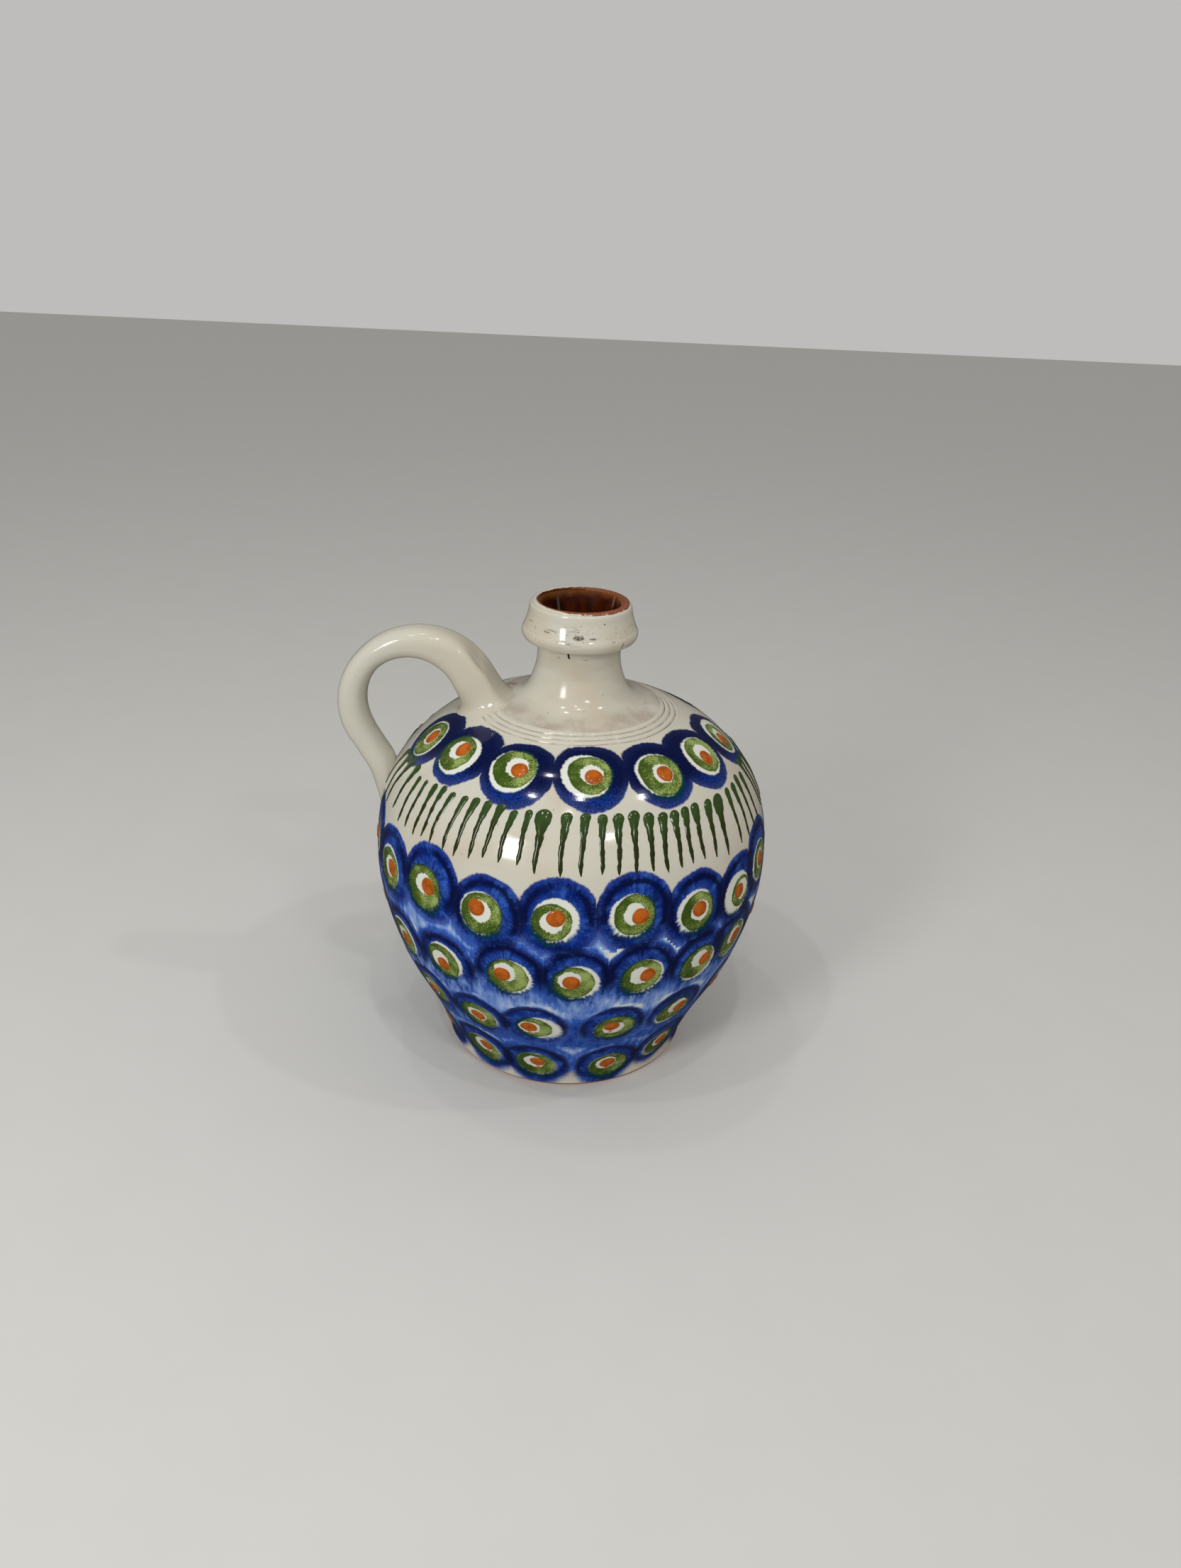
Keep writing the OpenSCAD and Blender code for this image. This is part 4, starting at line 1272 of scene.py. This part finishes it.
class JUG_OT_neck(bpy.types.Operator):
    """Build the neck with its wide root, its throat and its lip"""

    bl_idname = "jug.neck"
    bl_label = "Neck"
    columns: bpy.props.IntProperty(name="Columns", description="Faces round the neck", default=240)

    def execute(self, context):
        shape = context.scene.jug_shape
        wall = Wall(shape)
        outer = wall.at(np.linspace(wall.seam, wall.end, NECK_ROWS)[:, None], around(self.columns))
        half = (shape.lip_r - shape.mouth_r - shape.glaze_t) / 2
        a = np.radians(np.arange(0, 181, 15))
        lip = np.stack([
            shape.lip_r - half + half * np.cos(a), shape.lip_z - shape.lip_h + shape.lip_h * np.sin(a)
        ], 1)
        inner = inner_neck(shape, shape.wall)[::-1]
        profile = np.vstack([lip, inner[1:], inner_body(shape, shape.wall)[-1:]])
        piece = lathe("neck_wall", np.concatenate([outer, spun(profile, self.columns)]))
        finish_piece(piece, neck_finish(shape, context.scene.jug_paint), "neck")
        return {"FINISHED"}


class JUG_OT_collar(bpy.types.Operator):
    """Build the rolled collar round the mouth"""

    bl_idname = "jug.collar"
    bl_label = "Collar"
    columns: bpy.props.IntProperty(name="Columns", description="Faces round the collar", default=240)

    def execute(self, context):
        shape = context.scene.jug_shape
        outline = np.array(COLLAR_OUTLINE) * (-MM, MM) + (shape.collar_r, shape.collar_z)
        curve = spline(outline, steps=20)
        profile = at_lengths(curve, np.linspace(0, lengths_along(curve)[-1], COLLAR_ROWS))
        piece = lathe("collar_roll", spun(profile, self.columns))
        finish_piece(piece, collar_finish(shape, context.scene.jug_paint), "rim_collar")
        return {"FINISHED"}


class JUG_OT_handle(bpy.types.Operator):
    """Build the pulled handle, with its skirt on the shoulder and its tail on the belly"""

    bl_idname = "jug.handle"
    bl_label = "Handle"
    sides: bpy.props.IntProperty(name="Sides", description="Faces round the handle", default=64)
    last_angle: bpy.props.FloatProperty(
        name="Skirt angle", description="Angle round the loop where the skirt starts",
        default=np.radians(148), unit="ROTATION", subtype="ANGLE"
    )
    leg_angle: bpy.props.FloatProperty(
        name="Leg lean", description="Lean of the lower leg from upright",
        default=np.radians(30), unit="ROTATION", subtype="ANGLE"
    )

    def execute(self, context):
        shape = context.scene.jug_shape
        wall = Wall(shape)
        rings = np.concatenate([self.tail(shape, wall), self.loop(shape)])
        skirt = self.skirt(wall, rings[-1], rings[-1] - rings[-2])
        piece = tubes("handle_loop", np.concatenate([rings, skirt])[None])
        finish_piece(piece, handle_finish(context.scene.jug_paint), "handle")
        return {"FINISHED"}

    def section(self, centre, across, thick, wide, power=HANDLE_POWER, dent=0.0):
        """Rings across the middle line: ovals whose sides are flattened by a power, with a dent in the middle
        of the outer side. The angle starts on the outside of the loop and turns towards the viewer."""
        a = around(self.sides)
        power, dent = np.reshape(power, (-1, 1)), np.reshape(dent, (-1, 1))
        out = thick[:, None] / 2 * np.sign(np.cos(a)) * np.abs(np.cos(a)) ** power
        out = out - dent * bell((wrap(a) - 0.25) / 0.6)
        side = wide[:, None] / 2 * np.sign(np.sin(a)) * np.abs(np.sin(a)) ** power
        reach = centre[:, 0, None] + out * across[:, 0, None]
        height = centre[:, 1, None] + out * across[:, 1, None]
        return np.stack([-reach, -side, height], -1)

    def loop(self, shape):
        """The loop: a circle from the lower leg round to the start of the skirt. Towards the upper joint it
        widens, its sides flatten and a thumb has left its mark."""
        a = np.linspace(-self.leg_angle, self.last_angle, LOOP_RINGS)
        degrees = np.degrees(a)
        across = np.stack([np.cos(a), np.sin(a)], 1)
        centre = (shape.loop_x, shape.loop_z) + shape.loop_r * across
        smooth = spline(HANDLE_THICKNESS, steps=12)
        thick = np.interp(degrees, smooth[:, 0], smooth[:, 1]) * MM
        wider = np.clip((degrees - WIDER_FROM) / WIDER_SPAN, 0, 1) ** 1.4
        wide = shape.handle_w + (shape.join_w - shape.handle_w) * wider
        power = HANDLE_POWER - 0.25 * np.clip((degrees - FLATTER_FROM) / FLATTER_SPAN, 0, 1)
        dent = shape.thumb * bell((degrees - THUMB_AT) / THUMB_SPAN)
        return self.section(centre, across, thick, wide, power, dent)

    def tail(self, shape, wall):
        """The leg and the tail, from the tail's tip up to the start of the loop. The leg runs straight to
        the belly, and the tail sinks from standing proud of the wall to lying inside it."""
        lean = self.leg_angle
        start = (shape.loop_x, shape.loop_z) + shape.loop_r * np.array([np.cos(lean), -np.sin(lean)])
        way = np.array([-np.sin(lean), -np.cos(lean)])
        steps = np.linspace(0, LONGEST_LEG, 400)
        leg = start + steps[:, None] * way
        meets = steps[np.argmax(leg[:, 0] < wall.radius_at(leg[:, 1]))]
        thick = HANDLE_THICKNESS[0][1] * MM
        t = np.array([0.3, 0.55, 0.8, 1.05, 1.3])
        z = (start + meets * way)[1] - t * shape.tail_h
        proud = TAIL_PROUD * np.clip(1 - t, 0, 1) ** 2 - TAIL_SUNK
        r = wall.radius_at(z) - thick / 2 + proud
        wide = shape.foot_w + (shape.tail_w - shape.foot_w) * t
        stations = np.vstack([
            np.column_stack([r, z, np.full(len(t), thick), wide])[::-1],
            [(*(start + meets * k * way), thick, shape.handle_w + (shape.foot_w - shape.handle_w) * k**2)
             for k in (0.7, 0.35, 0)],
        ])
        line = spline(stations, steps=12)[:-1]
        return self.section(line[:, :2], normals_of(line[:, :2]), line[:, 2], line[:, 3])

    def skirt(self, wall, ring, way):
        """The upper joint: from each point of the last ring of the loop a cubic runs down to a rounded
        footprint on the shoulder, and leaves the clay there along its surface. The section's outside looks at
        the neck here, so the angle 0 is the side towards the neck."""
        a = around(self.sides)
        middle = wall.along(SKIRT_Z)
        reach = np.where(np.cos(a) > 0, SKIRT_IN, SKIRT_OUT) * np.cos(a)
        along = middle + reach
        swing = SKIRT_HALF_W * np.sin(a) / np.maximum(wall.profile(along)[0], SKIRT_LEAST_R)
        foot = wall.at(along, HANDLE_TURN + swing, -SKIRT_SUNK)
        beyond = wall.at(middle + 1.4 * reach, HANDLE_TURN + 1.4 * swing, -SKIRT_SUNK)
        gap = np.linalg.norm(foot - ring, axis=1)[:, None]
        t = np.linspace(0, 1, SKIRT_RINGS)[1:, None, None]
        curve = cubic(t, ring, foot, 1.1 * gap * unit(way), 1.3 * gap * unit(beyond - foot))
        buried = wall.at(along, HANDLE_TURN + swing, -SKIRT_BURIED)
        return np.concatenate([curve, buried[None]])


class JUG_OT_lining(bpy.types.Operator):
    """Build the brown glaze that lines the inside"""

    bl_idname = "jug.lining"
    bl_label = "Lining"
    columns: bpy.props.IntProperty(name="Columns", description="Faces round the lining", default=160)

    def execute(self, context):
        shape = context.scene.jug_shape
        lined = shape.wall + shape.glaze_t
        outside = np.vstack([inner_body(shape, shape.wall), inner_neck(shape, shape.wall)])
        inside = np.vstack([inner_body(shape, lined), inner_neck(shape, lined)])[::-1]
        profile = np.vstack([outside[1:], inside[:-1]])
        piece = lathe("glaze_lining", spun(profile, self.columns), (outside[0, 1], inside[-1, 1]))
        finish_piece(piece, lining_finish(shape, context.scene.jug_paint), "inner_glaze")
        return {"FINISHED"}


class JUG_OT_dots(bpy.types.Operator):
    """Build the raised slip dots of all five rows"""

    bl_idname = "jug.dots"
    bl_label = "Dots"
    sides: bpy.props.IntProperty(name="Sides", description="Faces round a dot", default=28)

    def execute(self, context):
        shape = context.scene.jug_shape
        wall = Wall(shape)
        material = dot_finish(context.scene.jug_paint)
        table = eyes(shape)
        random = np.random.default_rng(11)
        share = np.concatenate([np.repeat(DOT_SHARES, self.sides), [1, 0]])
        for row, node in enumerate(DOT_ROWS):
            own = table[table[:, EYE_ROW] == row]
            piece = tubes("slip_" + node, self.domes(shape, wall, own, random))
            point_values(piece, "rim", np.tile(share, len(own)))
            finish_piece(piece, material, node)
        return {"FINISHED"}

    def domes(self, shape, wall, table, random):
        """Low domes: the lift falls off with the fourth power of the distance from the middle, and the
        outline is a circle with a few slow waves. The first ring is sunk into the wall."""
        a = around(self.sides)
        waves = random.uniform(-1, 1, (len(table), 3, 2)) * np.array([0.07, 0.05, 0.03])[:, None]
        order = np.array([2, 3, 5])[:, None] * a
        outline = 1 + waves[..., 0] @ np.cos(order) + waves[..., 1] @ np.sin(order)
        right, up, radius = table[:, EYE_DOT].T[..., None, None] * MM
        share = np.array(DOT_SHARES)[:, None]
        reach = share * radius * outline[:, None]
        lift = shape.dot_h * (1 - share**4)
        lift[0] = -DOT_SUNK
        along = table[:, EYE_ALONG, None, None] + up + reach * np.sin(a)
        turn = table[:, EYE_TURN, None, None] + (right + reach * np.cos(a)) / wall.profile(along)[0]
        return wall.at(along, turn, lift)


class JUG_OT_strokes(bpy.types.Operator):
    """Build the raised green strokes below the shoulder's rings"""

    bl_idname = "jug.strokes"
    bl_label = "Strokes"
    left: bpy.props.IntProperty(name="Left strokes", description="Unseen strokes up to the handle", default=4)
    right: bpy.props.IntProperty(name="Right strokes", description="Unseen strokes behind", default=33)

    def execute(self, context):
        shape = context.scene.jug_shape
        random = np.random.default_rng(5)
        down = np.concatenate([[0, 0.01, 0.03, 0.06, 0.1], np.linspace(0.14, 1, 24)])
        rings = self.drops(shape, self.places(random), random, down)
        piece = tubes("slip_strokes", rings)
        share = np.concatenate([np.repeat(down, rings.shape[2]), [0, 1]])
        point_values(piece, "down", np.tile(share, len(rings)))
        finish_piece(piece, stroke_finish(context.scene.jug_paint), "green_strokes")
        return {"FINISHED"}

    def places(self, random):
        """The strokes that are seen, then the unseen ones at a regular pitch with some unevenness."""
        seen = np.array(STROKES_SEEN)
        before = seen[0, 0] - LEFT_PITCH * np.arange(self.left, 0, -1)
        after = seen[-1, 0] + RIGHT_PITCH * np.arange(1, self.right + 1)
        n = self.left + self.right
        turn = np.concatenate([before, after]) + random.normal(0, 0.5, n)
        unseen = np.column_stack([
            turn, turn + random.normal(-1.8, 0.8, n), random.uniform(2.2, 3.6, n), random.normal(1.6, 0.9, n),
            random.normal(19.6, 0.8, n)
        ])
        return np.vstack([seen, unseen])

    def drops(self, shape, table, random, t):
        """Drops drawn down the wall, where t goes from 0 at the head to 1 at the tail. The head is round, the
        width then falls off to a thin tail with a pointed end, the middle line swings from under the head and
        wavers, and the section is a lens whose underside is sunk into the wall."""
        wall = Wall(shape)
        head_turn, tail_turn, head, head_down, tail_down = table.T[..., None]
        top = wall.along(shape.stroke_top) - head_down * MM
        drop = (tail_down - head_down) * MM
        head = head * HEAD_SHARE * MM
        cap = head / 2 / drop
        round_head = np.sqrt(np.clip(1 - (1 - np.minimum(t / cap, 1)) ** 2, 0.01, 1))
        thin = np.exp(-((np.maximum(t - cap, 0) / 0.25) ** 1.15))
        point = 1 - 0.75 * np.clip((t - 0.82) / 0.18, 0, 1) ** 2
        first, second = random.uniform(0, FULL_TURN, (len(table), 2)).T[..., None]
        rough = 0.12 * np.sin(23 * t + first) + 0.09 * np.sin(51 * t + second)
        width = (shape.stroke_tail + (head - shape.stroke_tail) * thin) * round_head * point
        width = width * (1 + np.clip(t / 0.35, 0.2, 1) * rough)
        sway = STROKE_SWAY * np.sin(9 * t + second) * t
        side, height = np.array(STROKE_SECTION).T
        across = sway[..., None] + width[..., None] / 2 * side
        swell = shape.stroke_h * (0.55 + 0.45 * thin) * round_head
        lift = swell[..., None] * np.maximum(height, 0) + STROKE_SUNK * np.minimum(height, 0)
        along = np.broadcast_to((top - drop * t)[..., None], across.shape)
        swing = 1 - (1 - t) ** 2.2
        turn = np.radians(head_turn + (tail_turn - head_turn) * swing)
        return wall.at(along, turn[..., None] + across / wall.profile(along)[0], lift)


class JUG_OT_stage(bpy.types.Operator):
    """Set up the floor, the soft light, the lamps and the camera"""

    bl_idname = "jug.stage"
    bl_label = "Stage"

    def execute(self, context):
        stage = context.scene.jug_stage
        self.floor(context)
        self.world(context)
        self.camera(context)
        self.lamp(context, "window", WINDOW_PLACE, WINDOW_SIZE, stage.window_power)
        for name, place, size, share in BULBS:
            self.lamp(context, name, place, size, share * stage.bulb_power)
        return {"FINISHED"}

    def floor(self, context):
        """A wide plain square at the height of the foot."""
        points = np.array([(-1, -1, 0), (1, -1, 0), (1, 1, 0), (-1, 1, 0)]) * FLOOR_REACH
        mesh = bpy.data.meshes.new("floor")
        mesh.from_pydata(points.tolist(), [], [(0, 1, 2, 3)])
        floor = bpy.data.objects.new("floor", mesh)
        context.scene.collection.objects.link(floor)
        finish = Finish("floor")
        plain = context.scene.jug_paint.floor
        shade = finish.mix(finish.noise(finish.place, 40, 3), plain, 0.96 * plain)
        shade = finish.mix(finish.node("LightPath").outputs["Is Glossy Ray"], shade, 0.1 * plain)
        mesh.materials.append(finish.surface(shade, 0.9, gloss=0.1))

    def world(self, context):
        """Soft light from all round, a little warmer and stronger from the right and dimmer where the glaze
        mirrors it, before a pale backdrop."""
        paint = context.scene.jug_paint
        world = bpy.data.worlds.new("soft_room")
        world.use_nodes = True
        nodes, links = world.node_tree.nodes, world.node_tree.links
        way = nodes.new("ShaderNodeSeparateXYZ")
        links.new(nodes.new("ShaderNodeTexCoord").outputs["Generated"], way.inputs[0])
        room = nodes.new("ShaderNodeValToRGB")
        links.new(way.outputs["X"], room.inputs[0])
        for element, shade in zip(room.color_ramp.elements, (paint.air, paint.warm_air)):
            element.color = (*shade, 1)
        path = nodes.new("ShaderNodeLightPath")
        light = room.outputs["Color"]
        for ray, shade in (("Is Glossy Ray", paint.mirrored), ("Is Camera Ray", paint.backdrop)):
            mix = nodes.new("ShaderNodeMix")
            mix.data_type = "RGBA"
            links.new(path.outputs[ray], mix.inputs[0])
            links.new(light, mix.inputs[6])
            mix.inputs[7].default_value = (*shade, 1)
            light = mix.outputs[2]
        links.new(light, nodes["Background"].inputs["Color"])
        context.scene.world = world
        context.scene.view_settings.view_transform = "Standard"

    def lamp(self, context, name, place, size, power):
        """A rectangular lamp that looks at the middle of the jug."""
        light = bpy.data.lights.new(name, "AREA")
        light.shape = "RECTANGLE"
        light.size, light.size_y = size
        light.energy = power
        back = unit(np.array(place) - (0, 0, context.scene.jug_shape.lip_z / 2))
        right = unit(np.cross((0, 0, 1), back))
        self.stand(context, bpy.data.objects.new(name, light), (right, np.cross(back, right), back), place)

    def stand(self, context, made, axes, place):
        """Puts a lamp or the camera into the scene, with its three axes and its place."""
        context.scene.collection.objects.link(made)
        made.matrix_world = Matrix(np.column_stack([*axes, place]).tolist() + [(0, 0, 0, 1)])

    def camera(self, context):
        """The camera of the photograph: rolled, then tilted down, then turned."""
        stage = context.scene.jug_stage
        data = bpy.data.cameras.new("camera")
        data.sensor_width = SENSOR_MM
        data.lens = SENSOR_MM * stage.focal_px / stage.frame_px
        camera = bpy.data.objects.new("camera", data)
        forward = self.look(stage, 0, 0)
        right = self.look(stage, 1, 0) - forward
        up = forward - self.look(stage, 0, 1)
        self.stand(context, camera, (right, up, -forward), stage.eye)
        context.scene.camera = camera

    def look(self, stage, x, y):
        """Direction of a picture point x to the right and y down from the middle, one focal length away."""
        cos, sin = np.cos(stage.roll), np.sin(stage.roll)
        side, ahead, up = cos * x - sin * y, 1, -sin * x - cos * y
        cos, sin = np.cos(stage.pitch), np.sin(stage.pitch)
        ahead, up = cos * ahead + sin * up, -sin * ahead + cos * up
        cos, sin = np.cos(stage.yaw), np.sin(stage.yaw)
        return np.array([cos * side + sin * ahead, -sin * side + cos * ahead, up])


class JUG_PT_panel(bpy.types.Panel):
    """Lists the steps that build the jug"""

    bl_idname = "JUG_PT_panel"
    bl_label = "Jug"
    bl_space_type = "VIEW_3D"
    bl_region_type = "UI"
    bl_category = "Jug"

    def draw(self, context):
        for step in STEPS:
            self.layout.operator(step.bl_idname)
        for group in GROUPS:
            held = getattr(context.scene, group)
            box = self.layout.box()
            for name in held.__annotations__:
                box.prop(held, name)


STEPS = (
    JUG_OT_body, JUG_OT_neck, JUG_OT_collar, JUG_OT_handle, JUG_OT_lining, JUG_OT_dots, JUG_OT_strokes,
    JUG_OT_stage
)
GROUPS = {"jug_shape": JugShape, "jug_paint": JugPaint, "jug_stage": JugStage}
CLASSES = (*GROUPS.values(), *STEPS, JUG_PT_panel)


def register():
    """Adds the classes to Blender, and a place for each group of values to the scene."""
    for each in CLASSES:
        bpy.utils.register_class(each)
    for name, group in GROUPS.items():
        setattr(bpy.types.Scene, name, bpy.props.PointerProperty(type=group))


def unregister():
    """Takes them away again, in the opposite order."""
    for name in reversed(GROUPS):
        delattr(bpy.types.Scene, name)
    for each in reversed(CLASSES):
        bpy.utils.unregister_class(each)


def main():
    """Builds every piece and the stage."""
    register()
    bpy.ops.jug.body()
    bpy.ops.jug.neck()
    bpy.ops.jug.collar()
    bpy.ops.jug.handle()
    bpy.ops.jug.lining()
    bpy.ops.jug.dots()
    bpy.ops.jug.strokes()
    bpy.ops.jug.stage()


if __name__ == "__main__":
    main()
